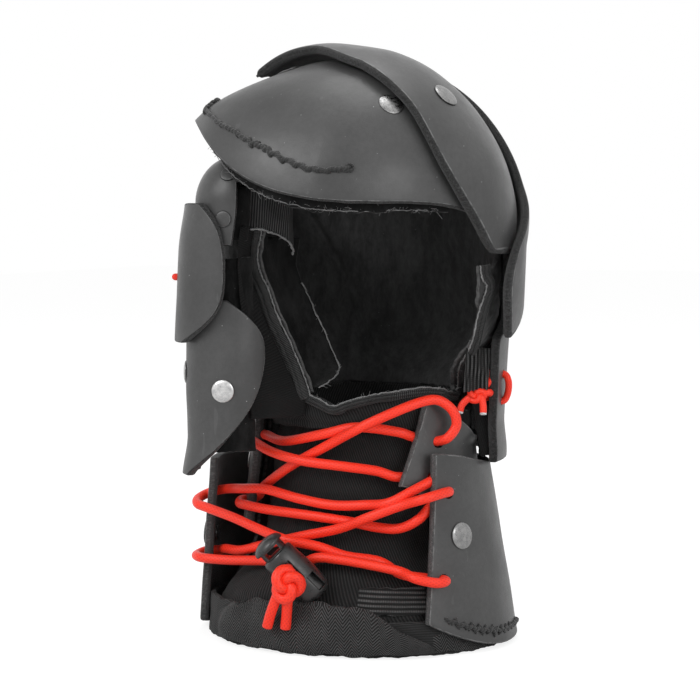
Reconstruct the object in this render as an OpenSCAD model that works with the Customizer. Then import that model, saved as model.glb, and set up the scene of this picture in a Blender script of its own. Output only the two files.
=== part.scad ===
/* [Plates] */
// Thickness of the moulded leather plates
plate_t = 4.5; // [3.5:0.1:5]
// Room between two plates that slide over each other
slide_gap = 1.9; // [1.7:0.1:2.4]
// Room between a plate and the lining behind it, for the rivets' washers
backing_gap = 1.5; // [1.4:0.1:2]
// Thickness of the suede and cloth linings
lining_t = 2.2; // [1.5:0.1:3]

/* [Cuff] */
// Width of the cuff at the hem
cuff_w = 163; // [156:1:176]
// Depth of the cuff at the hem
cuff_d = 138; // [132:1:150]
// Width of the cuff at its top edge
cuff_top_w = 140; // [138:1:146]
// Depth of the cuff at its top edge
cuff_top_d = 128; // [126:1:134]
// Height of the cuff plate's top edge at the back and sides
cuff_h = 87; // [83:1:90]
// Height of the cuff plate's lower edge above the hem
cuff_lift = 1.5; // [0.5:0.5:5]
// Height of the woven tape round the hem
hem_h = 18; // [12:1:22]

/* [Wrist] */
// Width of the wrist plate at its top
wrist_w = 108; // [104:1:110]
// Width of the wrist plate at its lower edge
wrist_low_w = 124; // [120:1:126]
// Depth of the wrist plate at its top
wrist_d = 90; // [86:1:94]
// Height of the wrist plate's lower edge
wrist_low = 53; // [48:1:58]
// Height of the wrist plate's two tabs
wrist_top = 119; // [116:1:121]

/* [Hand] */
// Height of the knuckle axis
knuckle_z = 212; // [208:1:218]
// Radius of the knuckle plate about the knuckle axis
knuckle_r = 84; // [80:1:88]
// Half width of the knuckle plate
knuckle_w = 82.5; // [78:0.5:86]
// Slope of the knuckle axis, down towards the little finger
knuckle_tilt = 12; // [6:1:16]
// Half width of the hand plate's outer face at the wrist, before the sliding step
hand_low_w = 77; // [75:0.5:82]
// Roundness of the back towards the thumb, 2 for an ellipse and more for a squarer back
back_n = 2.25; // [2:0.05:2.5]
// Roundness of the back towards the little finger
outer_n = 1.75; // [1.7:0.05:2.3]
// Swell of the plates over the little finger's knuckle
side_swell = 4; // [2:0.5:6]
// Extra width of the fingertip plate on the thumb side
tip_bulge = 22; // [10:1:24]

/* [Thumb] */
// Radius of the thumb plates at the root
thumb_r = 23; // [21:0.5:25]
// Radius of the thumb plates at the tip
thumb_tip_r = 20; // [18:0.5:22]
// Height of the thumb's end
thumb_top = 237; // [232:1:240]

/* [Rivets and cords] */
// Diameter of a rivet's head
rivet_d = 13; // [10:0.5:14]
// Diameter of the elastic lace
lace_d = 4.8; // [4:0.1:5]
// Diameter of the thin elastic ties
tie_d = 3.4; // [3:0.1:3.8]

/* [Cord lock] */
// Outer diameter of the cord lock's barrel
lock_d = 18; // [17:0.5:20]
// Length of the barrel
lock_len = 29; // [28:0.5:32]
// Travel of the push button
button_travel = 4; // [3:0.5:4]

/* [Hidden] */

leather = "#4a4b4d";
suede = "#19191b";
cord_red = "#f03a28";
steel = "#b9bbbd";

fit = 0.3;
lame_step = plate_t + slide_gap;
hem_t = 2.5;
backing = plate_t + backing_gap;
hand_low_z = 88;
cuff_span = 93;
knuckle_x = 5;
knuckle_y = -16;
wrist_low_d = wrist_d + 10;
tongue_drop = lace_d + 1.2;
thumb_low = 83;
thumb_x = -47;
thumb_y = -47;
glove_w = wrist_w/2 - 7.5;
ear_z = 111;

function mix(a, b, k) = a + (b - a)*k;
function clamp01(k) = max(0, min(1, k));
function smooth(k) = let (c = clamp01(k)) c*c*(3 - 2*c);
function power(v, p) = sign(v)*pow(abs(v), p);

// Surfaces: the point at height or station s and angle t, off millimetres outside the surface.
// t is 0 at the little finger side, 90 at the back, 180 at the thumb side and 270 in front.
function cuff_pt(s, t, off) =
    let (k = s/cuff_span)
    [-4.5*k + (mix(cuff_w, cuff_top_w, k)/2 + off)*cos(t), (mix(cuff_d, cuff_top_d, k)/2 + off)*sin(t), s];

// The wrist flares above the cuff plate on the little-finger side
function wrist_flare(s, t) =
    let (turn = t > 180 ? t - 360 : t)
    6*smooth((s - 95)/12)*smooth((turn + 40)/40)*smooth((110 - turn)/60);
function wrist_pt(s, t, off) =
    let (k = (s - wrist_low)/(wrist_top - wrist_low))
    [3 + (mix(wrist_low_w, wrist_w, k)/2 + wrist_flare(s, t) + off)*cos(t),
     (mix(wrist_low_d, wrist_d, k)/2 + off)*sin(t), s];

// The sleeve of cloth inside the cuff and wrist plates; drop sets it back behind the lacing
function sleeve_pt(s, t, off, drop) =
    let (k = smooth(s/wrist_low))
    mix(cuff_pt(s, t, off - plate_t - hem_t - 1), wrist_pt(s, t, off - backing - drop), k);

// The back of the hand: upright below the knuckle axis, and above it turned about that axis,
// with s then in degrees from the back. A point drop below the axis keeps the side clear of the pole.
function hand_w(z) = mix(hand_low_w, knuckle_w, smooth(1 + z/(knuckle_z - hand_low_z)));
hand_low_r = 76;
function hand_r(z) = mix(hand_low_r, knuckle_r, smooth(1 + z/(knuckle_z - hand_low_z)));
function hand_place(y, z, side, off) =
    let (low = min(z, 0),
         k = clamp01(1 + low/(knuckle_z - hand_low_z)),
         rho = z < 0 ? abs(y) : norm([y, z]),
         e = clamp01(rho/(hand_r(low) + off)),
         swell = side > 0 ? smooth(1 + low/70) : 0,
         n = mix(back_n, outer_n, swell),
         wide = hand_w(low) + side_swell*swell,
         u = side*(wide + off)*pow(1 - pow(e, n), 1/n),
         tilt = knuckle_tilt*smooth(k),
         up = max(z, 0))
    [mix(1, knuckle_x, k) + u*cos(tilt) + up*sin(tilt), mix(0, knuckle_y, smooth(k)) + y,
     knuckle_z + low - u*sin(tilt) + up*cos(tilt)];
function hand_pt(s, t, off, root = undef) =
    let (e = power(sin(t), 2/back_n),
         side = sign(cos(t)),
         reach = hand_r(min(s, 0)) + off,
         rim = s < 0 ? [reach, s] : reach*[cos(s), sin(s)],
         foot = is_undef(root) || side < 0 ? [0, min(s, 0)] : root,
         at = [rim[0]*e + foot[0]*(1 - abs(e)), rim[1]*abs(e) + foot[1]*(1 - abs(e))])
    hand_place(at[0], at[1], side, off);

// The fingertip plate bulges on the thumb side, ahead of the plate that covers it
function tip_pt(s, t, off) =
    let (p = hand_pt(s, t, off), k = smooth((s - 100)/40))
    t > 90 ? p - tip_bulge*k*power(-cos(t), 2/back_n)*[cos(knuckle_tilt), 0, -sin(knuckle_tilt)] : p;

function thumb_pt(s, t, off) =
    let (k = clamp01((s - thumb_low)/(thumb_top - thumb_low)),
         cap = clamp01((s - thumb_top + 22)/22),
         r = (mix(thumb_r, thumb_tip_r, smooth(k*1.6 - 0.5)) + 3*smooth(1 - k*8))
             *sqrt(max(0.04, 1 - cap*cap)) + off)
    [thumb_x + 2.5*smooth((s - 190)/25) + r*cos(t), thumb_y + 2*smooth(1 - k*3) + r*sin(t), s];

// The glove inside the hand plates: narrow in the wrist, flat on the palm side
function glove_pt(s, t, off) =
    let (z = knuckle_z + s,
         p = hand_pt(s, t, off - lame_step - backing),
         middle = mix(0, knuckle_y, smooth(1 + min(s, 0)/(knuckle_z - hand_low_z))),
         palm = [p[0], sin(t) < 0 ? middle + (p[1] - middle)*0.5 : p[1], p[2]],
         low = [3 + (glove_w + off)*cos(t), ((sin(t) < 0 ? 37 : 41) + off)*sin(t), z])
    mix(low, palm, smooth((z - 121)/40));

// A curved sheet of even thickness. Rows run from edge s0 to edge s1, columns from t0 to t1; s0 and s1
// are functions of the column's share, t0 and t1 of the row's share.
module sheet(place, s0, s1, t0, t1, rows, cols, thick, closed = false) {
    c = closed ? cols : cols + 1;
    n = (rows + 1)*c;
    function spot(i, j, off) =
        let (v = i/rows, h = j/cols, t = mix(t0(v), t1(v), h))
        place(mix(s0(h), s1(h), v), t, off);
    points = [for (off = [0, -thick], i = [0:rows], j = [0:c - 1]) spot(i, j, off)];
    function at(i, j, side) = side*n + i*c + j%c;
    function pair(a, b, d, e) = [[a, b, d], [a, d, e]];
    faces = concat(
        [for (i = [0:rows - 1], j = [0:cols - 1]) each
            pair(at(i, j, 0), at(i + 1, j, 0), at(i + 1, j + 1, 0), at(i, j + 1, 0))],
        [for (i = [0:rows - 1], j = [0:cols - 1]) each
            pair(at(i, j, 1), at(i, j + 1, 1), at(i + 1, j + 1, 1), at(i + 1, j, 1))],
        [for (j = [0:cols - 1]) each pair(at(0, j, 0), at(0, j + 1, 0), at(0, j + 1, 1), at(0, j, 1))],
        [for (j = [0:cols - 1]) each
            pair(at(rows, j + 1, 0), at(rows, j, 0), at(rows, j, 1), at(rows, j + 1, 1))],
        closed ? [] : [for (i = [0:rows - 1]) each
            pair(at(i + 1, 0, 0), at(i, 0, 0), at(i, 0, 1), at(i + 1, 0, 1))],
        closed ? [] : [for (i = [0:rows - 1]) each
            pair(at(i, cols, 0), at(i + 1, cols, 0), at(i + 1, cols, 1), at(i, cols, 1))]);
    polyhedron(points, faces, convexity = 8);
}

// A round cord swept along points, with a ring at each
function unit(v) = v/norm(v);
function heading(path, i) =
    unit(unit(path[min(i + 1, len(path) - 1)] - path[i] + [0, 0, 1e-6])*(i < len(path) - 1 ? 1 : 0)
         + unit(path[i] - path[max(i - 1, 0)] + [0, 0, 1e-6])*(i > 0 ? 1 : 0));
function first_side(d) = unit(cross(d, abs(d[2]) < 0.9 ? [0, 0, 1] : [1, 0, 0]));
function sides_of(path) = [for (i = 0, v = first_side(heading(path, 0)); i < len(path); i = i + 1,
    v = i < len(path) ? let (d = heading(path, i)) unit(v - (v*d)*d) : v) v];
module cord(path, d, sides = 8) {
    across = sides_of(path);
    n = len(path);
    points = [for (i = [0:n - 1], j = [0:sides - 1])
        let (a = across[i], b = cross(heading(path, i), a), w = 360*j/sides)
        path[i] + d/2*(a*cos(w) + b*sin(w))];
    faces = concat(
        [[for (j = [0:sides - 1]) j]],
        [[for (j = [sides - 1:-1:0]) (n - 1)*sides + j]],
        [for (i = [0:n - 2], j = [0:sides - 1])
            let (k = (j + 1)%sides)
            each [[i*sides + j, (i + 1)*sides + j, (i + 1)*sides + k],
                  [i*sides + j, (i + 1)*sides + k, i*sides + k]]]);
    polyhedron(points, faces, convexity = 8);
}

// A round cord closed on itself
module ring(path, d, sides = 8) {
    n = len(path);
    function ahead(i) = unit(path[(i + 1)%n] - path[(i + n - 1)%n]);
    function side(i) = unit(cross(ahead(i), [0, 0, 1] + 0.001*path[i]));
    points = [for (i = [0:n - 1], j = [0:sides - 1])
        let (a = side(i), b = cross(ahead(i), a), w = 360*j/sides) path[i] + d/2*(a*cos(w) + b*sin(w))];
    faces = [for (i = [0:n - 1], j = [0:sides - 1])
        let (k = (j + 1)%sides, m = (i + 1)%n)
        each [[i*sides + j, m*sides + j, m*sides + k], [i*sides + j, m*sides + k, i*sides + k]]];
    polyhedron(points, faces, convexity = 8);
}

// Sets its children at a point of a surface, with their Z axis along the outward normal
module on(place, s, t) {
    p = place(s, t, 0);
    n0 = unit(cross(place(s, t + 1, 0) - place(s, t - 1, 0), place(s + 1, t, 0) - place(s - 1, t, 0)));
    n = n0*(place(s, t, 1) - p) < 0 ? -n0 : n0;
    translate(p) rotate([0, acos(n[2]), atan2(n[1], n[0])]) children();
}
// A rivet's head stands head_h outside the plate and its washer under inside it. A washer that the next
// plate runs on reaches to the running gap
head_h = 1.2;
shank_r = 2.1;
washer_h = 1.2;
runner_h = slide_gap - fit;
module rivet(d, seat, under) {
    rotate_extrude($fn = 32)
        polygon([[0, -plate_t - under], [d*0.32, -plate_t - under], [d*0.32, -plate_t - seat],
                 [shank_r, -plate_t - seat], [shank_r, 0.05], [d/2, 0.05],
                 [d/2*0.93, head_h/2], [d/2*0.6, head_h*0.85], [0, head_h]]);
}
module rivets(place, spots, d = rivet_d, seat = 0.6, under = washer_h) {
    for (p = spots) on(place, p[0], p[1]) rivet(d, seat, under);
}
module holes(place, spots, r) {
    for (p = spots) on(place, p[0], p[1])
        translate([0, 0, -plate_t - 4]) cylinder(r = r, h = plate_t + 8, $fn = 24);
}
module rivet_holes(place, spots) holes(place, spots, shank_r + 0.1);
module cord_holes(place, spots, d) holes(place, spots, d/2 + 0.5);

// Where the rivets and cord holes sit, as station and angle on each surface
cuff_spots = [[55.7, -27], [48, 193], [25, 60], [25, 120]];
cuff_lace_spots = [[76.5, -31], [36, -38.5], [68.5, 196.5], [39, 196.5]];
wrist_spots = [[85, 188], [79, 60], [79, 120]];
wrist_lace_spots = [[99.5, -33], [83, -38], [99, 202], [66, 202]];
hand_spots = [[-60, 70], [-60, 110], [-84, 45], [-84, 135]];
hand_tie_spots = [[-76, 5], [-92, 5]];
knuckle_spots = [[46, 62], [46, 100], [7, 78], [7, 108]];
finger_spots = [[104, 55], [70, 98], [70, 122]];
fingertip_spots = [[127, 68], [108, 122]];
thumb_base_spots = [[125, 280], [132.5, 200]];
thumb_tip_spots = [[206.5, 275], [228, 277]];
thumb_tie_spots = [[178.5, 200]];

function even(v) = function(h) v;
hand_face = function(s, t, o)
    hand_pt(s, t, o - lame_step + (1.5 + 4.5*pow(sin(t), 2))*smooth((-s - 102)/20));
tip_face = function(s, t, o) tip_pt(s, t, o - 2*lame_step);
cuff_face = function(s, t, o) cuff_pt(s, t, o);
wrist_face = function(s, t, o) wrist_pt(s, t, o);
thumb_face = function(s, t, o) thumb_pt(s, t, o);
knuckle_face = function(s, t, o) hand_pt(s, t, o + 0.8*smooth(-s/20)*smooth(t/30),
                                         let (k = clamp01((s + 52)/172))
                                         [mix(24, -6, k), -52 + 32*pow(1 - k, 2)]);
finger_face = function(s, t, o) hand_pt(s, t, o - lame_step + 2.5*smooth((t - 92)/30)*smooth((s - 70)/25),
                                        [mix(10, -22, clamp01((s - 30)/150)), -6]);
guard_face = function(s, t, o) thumb_pt(s, t, o + plate_t + 1.1);

// Edges of the plates
function cuff_bottom(h) = cuff_lift + 14*pow(clamp01(1 - h/0.16), 2) + 6*pow(clamp01((h - 0.94)/0.06), 2);
function cuff_top(h) = cuff_h + 8*smooth(1 - h/0.2);
function wrist_edge_top(h) = wrist_top - 18*smooth(min(h, 1 - h)/0.16);
function wrist_edge_low(h) = wrist_low + 26*smooth(1 - h/0.16);
// The lining rises to two ears at the wrist's hinge line, where the glove turns in it
function lining_top(t) = 99 + (ear_z - 99)*smooth(1.6 - min(abs(t), abs(180 - t))/9);
function hand_edge(h) = hand_low_z - knuckle_z + 12*smooth((h - 0.6)/0.3);
function hand_side(v) = -1 + 29*smooth((v - 0.5)/0.22);
function knuckle_low(h) = -52*(1 - smooth(h/0.3));
function knuckle_front(h) = 60 + 60*smooth((0.25 - h)/0.2);
function finger_front(t) = 105 + 0.62*max(0, 110 - t) - 10*smooth((100 - t)/45);
function tip_front(t) = 177 - (t > 94 ? 0.0125 : 0.0039)*pow(t - 94, 2) - 5*pow(clamp01((t - 152)/8), 2);
function base_edge(v) = v < 0.72 ? 226 + 110*(1 - pow(1 - v/0.72, 2)) : 336 - 52*pow((v - 0.72)/0.28, 2);
function guard_edge(v) = 284 - (v < 0.5 ? 54 : 38)*pow(abs(2*v - 1), 3);

// Angles of the cuff plate's two lower corners
cuff_from = -47;
cuff_to = 204;
module cuff_plate() {
    color(leather) difference() {
        sheet(cuff_face, function(h) cuff_bottom(h), function(h) cuff_top(h),
              function(v) mix(cuff_from, -35, v), even(cuff_to), 6, 30, plate_t);
        rivet_holes(cuff_face, cuff_spots);
        cord_holes(cuff_face, cuff_lace_spots, lace_d);
    }
}
module wrist_plate() {
    color(leather) difference() {
        sheet(wrist_face, function(h) wrist_edge_low(h), function(h) wrist_edge_top(h),
              function(v) mix(-56, -38, v), function(v) 210 - 6*pow(v, 3), 6, 30, plate_t);
        rivet_holes(wrist_face, wrist_spots);
        cord_holes(wrist_face, wrist_lace_spots, lace_d);
    }
}
module hand_plate() {
    color(leather) difference() {
        sheet(hand_face, function(h) hand_edge(h), even(12), function(v) hand_side(v), even(150),
              10, 20, plate_t);
        rivet_holes(hand_face, hand_spots);
        cord_holes(hand_face, hand_tie_spots, tie_d);
    }
}
module knuckle_plate() {
    color(leather) difference() {
        sheet(knuckle_face, function(h) knuckle_low(h), function(h) knuckle_front(h), even(0), even(150),
              10, 22, plate_t);
        rivet_holes(knuckle_face, knuckle_spots);
    }
}
module finger_plate() {
    color(leather) difference() {
        sheet(finger_face, even(38), function(h) finger_front(138*h), even(0), even(138), 14, 22, plate_t);
        rivet_holes(finger_face, finger_spots);
    }
}
module fingertip_plate() {
    color(leather) difference() {
        sheet(tip_face, function(h) 94 + 26*smooth((h - 0.75)/0.25), function(h) tip_front(mix(20, 160, h)),
              even(20), even(160), 11, 22, plate_t);
        rivet_holes(tip_face, fingertip_spots);
    }
}
module thumb_base_plate() {
    color(leather) difference() {
        sheet(thumb_face, even(thumb_low), even(168),
              even(165), function(v) base_edge(v), 9, 12, plate_t);
        rivet_holes(thumb_face, thumb_base_spots);
    }
}
module thumb_guard_plate() {
    color(leather) difference() {
        sheet(guard_face, even(147.5), even(214), even(170), function(v) guard_edge(v), 8, 10, plate_t);
        cord_holes(guard_face, thumb_tie_spots, tie_d);
    }
}
module thumb_tip_plate() {
    color(leather) difference() {
        sheet(thumb_face, even(194), even(thumb_top - 0.5), even(165), even(292), 7, 12, plate_t);
        rivet_holes(thumb_face, thumb_tip_spots);
    }
}

module cuff_rivets() color(steel) rivets(cuff_face, cuff_spots);
module wrist_rivets() color(steel) rivets(wrist_face, wrist_spots);
module hand_rivets() color(steel) rivets(hand_face, hand_spots);
module knuckle_rivets() color(steel) rivets(knuckle_face, knuckle_spots, under = runner_h);
module finger_rivets() color(steel) rivets(finger_face, finger_spots, under = runner_h);
module fingertip_rivets() color(steel) rivets(tip_face, fingertip_spots, rivet_d - 3);
module thumb_base_rivets() color(steel) rivets(thumb_face, thumb_base_spots, rivet_d - 2, 0.8);
module thumb_tip_rivets() color(leather) rivets(thumb_face, thumb_tip_spots, rivet_d - 5, 0.8);

module cuff_lining() {
    color(suede) sheet(function(s, t, o) sleeve_pt(s, t, o, 0), even(2),
                       function(h) lining_top(mix(-32, 188, h)),
                       even(-32), even(188), 7, 32, lining_t);
}
module wrist_tongue() {
    color(suede) sheet(function(s, t, o) sleeve_pt(s, t, o, tongue_drop), even(2),
                       even(101), even(188.6), even(327.4), 8, 16, lining_t);
}
module hem_tape() {
    color("#2b2b2e") difference() {
        sheet(function(s, t, o) cuff_pt(s, t, o - plate_t - 0.4), even(-1), even(hem_h),
              even(0), even(360), 2, 40, hem_t, true);
        translate([-cuff_w, -cuff_w, -5]) cube([2*cuff_w, 2*cuff_w, 5]);
    }
}
module palm_band() {
    color(suede) sheet(function(s, t, o) glove_pt(s, t, o), even(107 - knuckle_z), even(121.7 - knuckle_z),
                       even(0), even(360), 2, 36, lining_t, true);
}
module hand_lining() {
    color(suede) sheet(function(s, t, o) glove_pt(s, t, o), even(122 - knuckle_z),
                       function(h) 8 - 26*smooth((46 - 250*h)/34),
                       function(v) -18 + 6*v, function(v) 262 - 24*v, 8, 26, lining_t);
}
module finger_lining() {
    color(suede) sheet(function(s, t, o) hand_pt(s, t, o - lame_step - backing), even(50), even(77),
                       even(24), even(150), 3, 16, lining_t);
}
module fingertip_lining() {
    color(suede) sheet(function(s, t, o) tip_pt(s, t, o - 2*lame_step - backing), even(104),
                       function(h) tip_front(mix(26, 152, h)) + 3, even(26), even(152), 7, 18, lining_t);
}
module thumb_lining() {
    color(suede) sheet(function(s, t, o) thumb_pt(s, t, o - backing), even(95), even(188), even(150),
                       even(330), 6, 14, lining_t);
}
module thumb_tip_lining() {
    color(suede) sheet(function(s, t, o) thumb_pt(s, t, o - backing), even(196), even(222), even(176),
                       even(320), 4, 14, lining_t);
}
// The web of ribbed cloth from the thumb to the palm opening's thumb side
web_outer = [[-30.8, -53.3, 107], [-31.7, -54.6, 135], [-31.7, -54.6, 165], [-31.7, -54.6, 188]];
web_inner = [[-4, -41, 125], [-10, -44, 141], [-20, -49.4, 167], [-28, -49.6, 199]];
function along(path, k) =
    let (f = clamp01(k)*(len(path) - 1), i = min(floor(f), len(path) - 2)) mix(path[i], path[i + 1], f - i);
module thumb_gusset() {
    color("#232326") sheet(function(s, t, o) mix(along(web_outer, s), along(web_inner, s), t) + [0, -o, 0],
                           even(0), even(1), even(0), even(1), 9, 4, lining_t);
}

// The lock lies across the lacing, its barrel's axis down towards the little finger
lock_at = [-11, -61, 40];
view_turn = 20;
lock_turn = 45;
hole_half = 2.45;

// The lace's route, from its end at the cord lock and back again. Each row is the surface
// (0 cuff plate, 1 wrist plate, 2 tongue), the height, the angle and the distance outside it
lace_stations = [
    [2, 40.5, 244.5, 6.75], [2, 38.5, 227, 6.25], [2, 37.5, 215.5, 15.25], [0, 37.5, 209.5, 0.25],
    [0, 37.5, 204.5, 3.5], [0, 37.5, 200, 3.25], [0, 38.5, 196, -0.75], [0, 39, 195.5, -7],
    [0, 40.5, 201, -11], [2, 41.5, 211.5, 10.25], [2, 46.5, 228, 6.25], [2, 53, 252.5, 6],
    [2, 58, 273, 6.5], [2, 65, 289, 12.75], [2, 71, -57, 16.75], [2, 75, -49.5, 25.25],
    [0, 77, -35.5, 2.5], [0, 77, -30.5, -0.25], [0, 76, -31.5, -5.5], [2, 71, -40.5, 14],
    [2, 64, -48.5, 14.75], [2, 59, -56.5, 9], [2, 59, 292, 4.5], [2, 61, 279, 3], [2, 63, 256, 4],
    [2, 64, 230, 8.75], [1, 65, 217, 2.25], [1, 65, 209.5, 3.75], [1, 66, 204.5, 2], [1, 66, 202, -3.25],
    [2, 69, 206.5, 5.75], [2, 74, 217, 6.5], [2, 86, 241, 5.75], [2, 97, 264.5, 6.5], [2, 108, 286, 15],
    [2, 116, -56.5, 17.25], [1, 120, -43, 5], [1, 120, -35, 5.75], [1, 115, -29.5, 7.5], [1, 108, -28, 7],
    [1, 102, -31.5, 5], [1, 100, -33.5, -1.25], [1, 100, -37, -5], [2, 102, -45, 6.75],
    [2, 105, -56, 8.25], [2, 107, 282.5, 8], [2, 103, 263, 7], [2, 98, 235, 5.75], [1, 99, 209.5, -6],
    [1, 99, 203.5, -4], [1, 99, 201, 0.5], [1, 99, 204, 5], [1, 98, 210, 7], [1, 97, 218.5, 3.25],
    [2, 93, 235, 12.5], [2, 90, 253, 9.75], [2, 88, 275.5, 6.75], [2, 86, 293, 5.75], [2, 83, -56, 5.25],
    [1, 83, -43, -8], [1, 83, -37.5, -5.25], [1, 83, -37, 2], [1, 82, -42, 4.75], [2, 78, -51, 16.75],
    [2, 72, 298, 14.25], [2, 70, 288, 7.5], [2, 69, 270, 5.25], [2, 71, 249.5, 6], [2, 74, 228.5, 10.25],
    [2, 73, 214.5, 16.75], [0, 71, 201, -10], [0, 69.5, 196.5, -4.5], [0, 67.5, 195.5, 1.25],
    [0, 65.5, 200, 5], [0, 64, 205, 4.75], [0, 63, 209.5, 1], [2, 59.5, 219, 21.5], [2, 55.5, 231, 15],
    [2, 52, 249, 13.5], [2, 49, 263, 6.75], [2, 45, 277.5, 4.5], [2, 43, 294, 5], [2, 38, -56.5, 9.5],
    [0, 36, -42.5, -8], [0, 36, -39, -3.75], [0, 36, -39, 2.5], [0, 36, -44, 4.75], [0, 38, -50.5, 1.75],
    [2, 40, -58, 15.25], [2, 42, 291.5, 10.5], [2, 44, 276, 9], [2, 44, 264, 9], [2, 38, 255, 6.25]];
function lace_point(p) =
    p[0] == 0 ? cuff_pt(p[1], p[2], p[3])
    : p[0] == 1 ? wrist_pt(p[1], p[2], p[3]) : sleeve_pt(p[1], p[2], p[3], tongue_drop);
// A point of one of the two strands through the lock, depth millimetres behind the barrel's axis
function in_lock(strand, depth) =
    lock_at + strand*hole_half*[sin(lock_turn)*cos(view_turn), sin(lock_turn)*sin(view_turn), -cos(lock_turn)]
    + depth*[-sin(view_turn), cos(view_turn), 0];
lace_path = concat([in_lock(-1, -11.5), in_lock(-1, 10)], [for (p = lace_stations) lace_point(p)],
                   [in_lock(1, 10), in_lock(1, -11.5)]);
module lace() color(cord_red) cord(lace_path, lace_d);

module lock_frame() translate(lock_at) rotate([0, 0, view_turn]) rotate([0, 90 + lock_turn, 0]) children();
module cord_slot(from, to, wide) {
    rotate([90, 0, 0]) union() {
        for (z = [from, to]) translate([0, z, -lock_d]) cylinder(d = wide, h = 2*lock_d, $fn = 24);
        translate([-wide/2, from, -lock_d]) cube([wide, to - from, 2*lock_d]);
    }
}
module lock_barrel() {
    color("#26272a") lock_frame() difference() {
        rotate_extrude($fn = 40)
            polygon([[0, -11], [lock_d/2 - 1.2, -11], [lock_d/2, -9.5], [lock_d/2, lock_len - 15],
                     [lock_d/2 - 1.5, lock_len - 12], [lock_d/2 - 4, lock_len - 11], [0, lock_len - 11]]);
        translate([0, 0, -12]) cylinder(r = 6.4, h = 28, $fn = 40);
        cord_slot(-hole_half, hole_half, lace_d + 1.2);
    }
}
module lock_button() {
    color("#26272a") lock_frame() difference() {
        union() {
            translate([0, 0, -17]) cylinder(r = 6.32, h = 28, $fn = 40);
            rotate_extrude($fn = 40)
                polygon([[0, -20], [4, -19.6], [7, -18], [8, -16], [8, -15.2], [0, -15.2]]);
        }
        translate([0, 0, 6.4]) cylinder(r = 4.6, h = 6, $fn = 32);
        cord_slot(-hole_half - button_travel - 0.3, hole_half + 0.1, lace_d + 1.2);
    }
}
spring_r = 4.2;
spring_h = 5.2;
spring_wire = 0.8;
module lock_spring() {
    color(steel) lock_frame() translate([0, 0, 10.7]) difference() {
        cylinder(r = spring_r, h = spring_h, $fn = 32);
        translate([0, 0, -1]) cylinder(r = spring_r - spring_wire, h = spring_h + 2, $fn = 32);
    }
}
// The knot: a trefoil of pulled cord in front of the lock, with two tails
knot_d = lace_d - 0.8;
knot_r = 4.6;
knot_wave = 2.1;
function trefoil(w) =
    let (r = knot_r + knot_wave*cos(3*w)) [r*cos(2*w), r*sin(2*w), knot_wave*sin(3*w)];
module lace_knot() {
    color(cord_red) {
        translate(lock_at + [3.5, -14, -3]) rotate([0, 0, view_turn]) rotate([90, 0, 0])
            ring([for (i = [0:47]) trefoil(7.5*i)], knot_d);
        cord([[-11, -73, 32], [-14, -73, 26], [-17, -72, 20], [-19, -71, 15]], lace_d);
        cord([[-6, -72, 32], [-8, -71, 26], [-9, -70, 20], [-10, -69, 14]], lace_d);
    }
}

function tie_at(i, off) = hand_face(hand_tie_spots[i][0], hand_tie_spots[i][1], off);
module side_tie() {
    color(cord_red) {
        cord([[57, -12, 111], [59, -9, 116], [61, -6, 121], [61.5, -2, 128],
              tie_at(0, -9), tie_at(0, -plate_t), tie_at(0, 0.5),
              tie_at(0, 2.4) + [0, 0, -2.5], (tie_at(0, 3) + tie_at(1, 3))/2,
              tie_at(1, 2.4) + [0, 0, 2.5], tie_at(1, 0.5), tie_at(1, -plate_t), tie_at(1, -9),
              [62, -2, 120], [62.5, -6, 116], [64, -9, 112], [65, -10, 108]], tie_d);
        translate([61.5, -5, 119]) sphere(r = 3.6, $fn = 24);
    }
}
module thumb_tie() {
    color(cord_red) on(guard_face, thumb_tie_spots[0][0], thumb_tie_spots[0][1])
        translate([0, 0, -plate_t - 0.4]) cylinder(d = tie_d, h = plate_t + 3, $fn = 20);
}
// Station and angle of the fingertip plate's seam, from the thumb side to its knot
tip_seam = [[131, 137], [135, 140], [141, 137], [149.5, 128], [153, 123], [155, 118], [157.5, 114],
            [160, 109], [161, 105], [162.5, 102], [164.6, 96], [165.6, 91], [165.3, 85], [163.2, 77],
            [162.1, 73.5]];
thread_d = 1.6;
thread_lift = 1.1;
module fingertip_stitching() {
    color("black") cord([for (i = [0:2*len(tip_seam) - 2])
        let (p = mix(tip_seam[floor(i/2)], tip_seam[ceil(i/2)], 0.5))
            tip_face(p[0] + i%2, p[1], thread_lift)], thread_d, 6);
}
module cuff_stitching() {
    color("black") cord([for (i = [0:20]) let (t = mix(-40, 12, i/20))
        cuff_pt(cuff_bottom((t - cuff_from)/(cuff_to - cuff_from)) + 6 + i%2, t, thread_lift)],
        thread_d, 6);
}

cuff_plate();
wrist_plate();
hand_plate();
knuckle_plate();
finger_plate();
fingertip_plate();
thumb_base_plate();
thumb_guard_plate();
thumb_tip_plate();
cuff_rivets();
wrist_rivets();
hand_rivets();
knuckle_rivets();
finger_rivets();
fingertip_rivets();
thumb_base_rivets();
thumb_tip_rivets();
cuff_lining();
wrist_tongue();
hem_tape();
palm_band();
hand_lining();
finger_lining();
fingertip_lining();
thumb_lining();
thumb_tip_lining();
thumb_gusset();
lace();
lace_knot();
lock_barrel();
lock_button();
lock_spring();
side_tie();
thumb_tie();
fingertip_stitching();
cuff_stitching();
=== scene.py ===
"""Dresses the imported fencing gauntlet: leather plates, linings, lacing, cord lock and rivets.
Sizes here are in millimetres and degrees, as in the part's source; Shape.mesh turns them into metres."""
import math

import bmesh
import bpy
import numpy as np
from mathutils import Matrix, Vector


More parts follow.
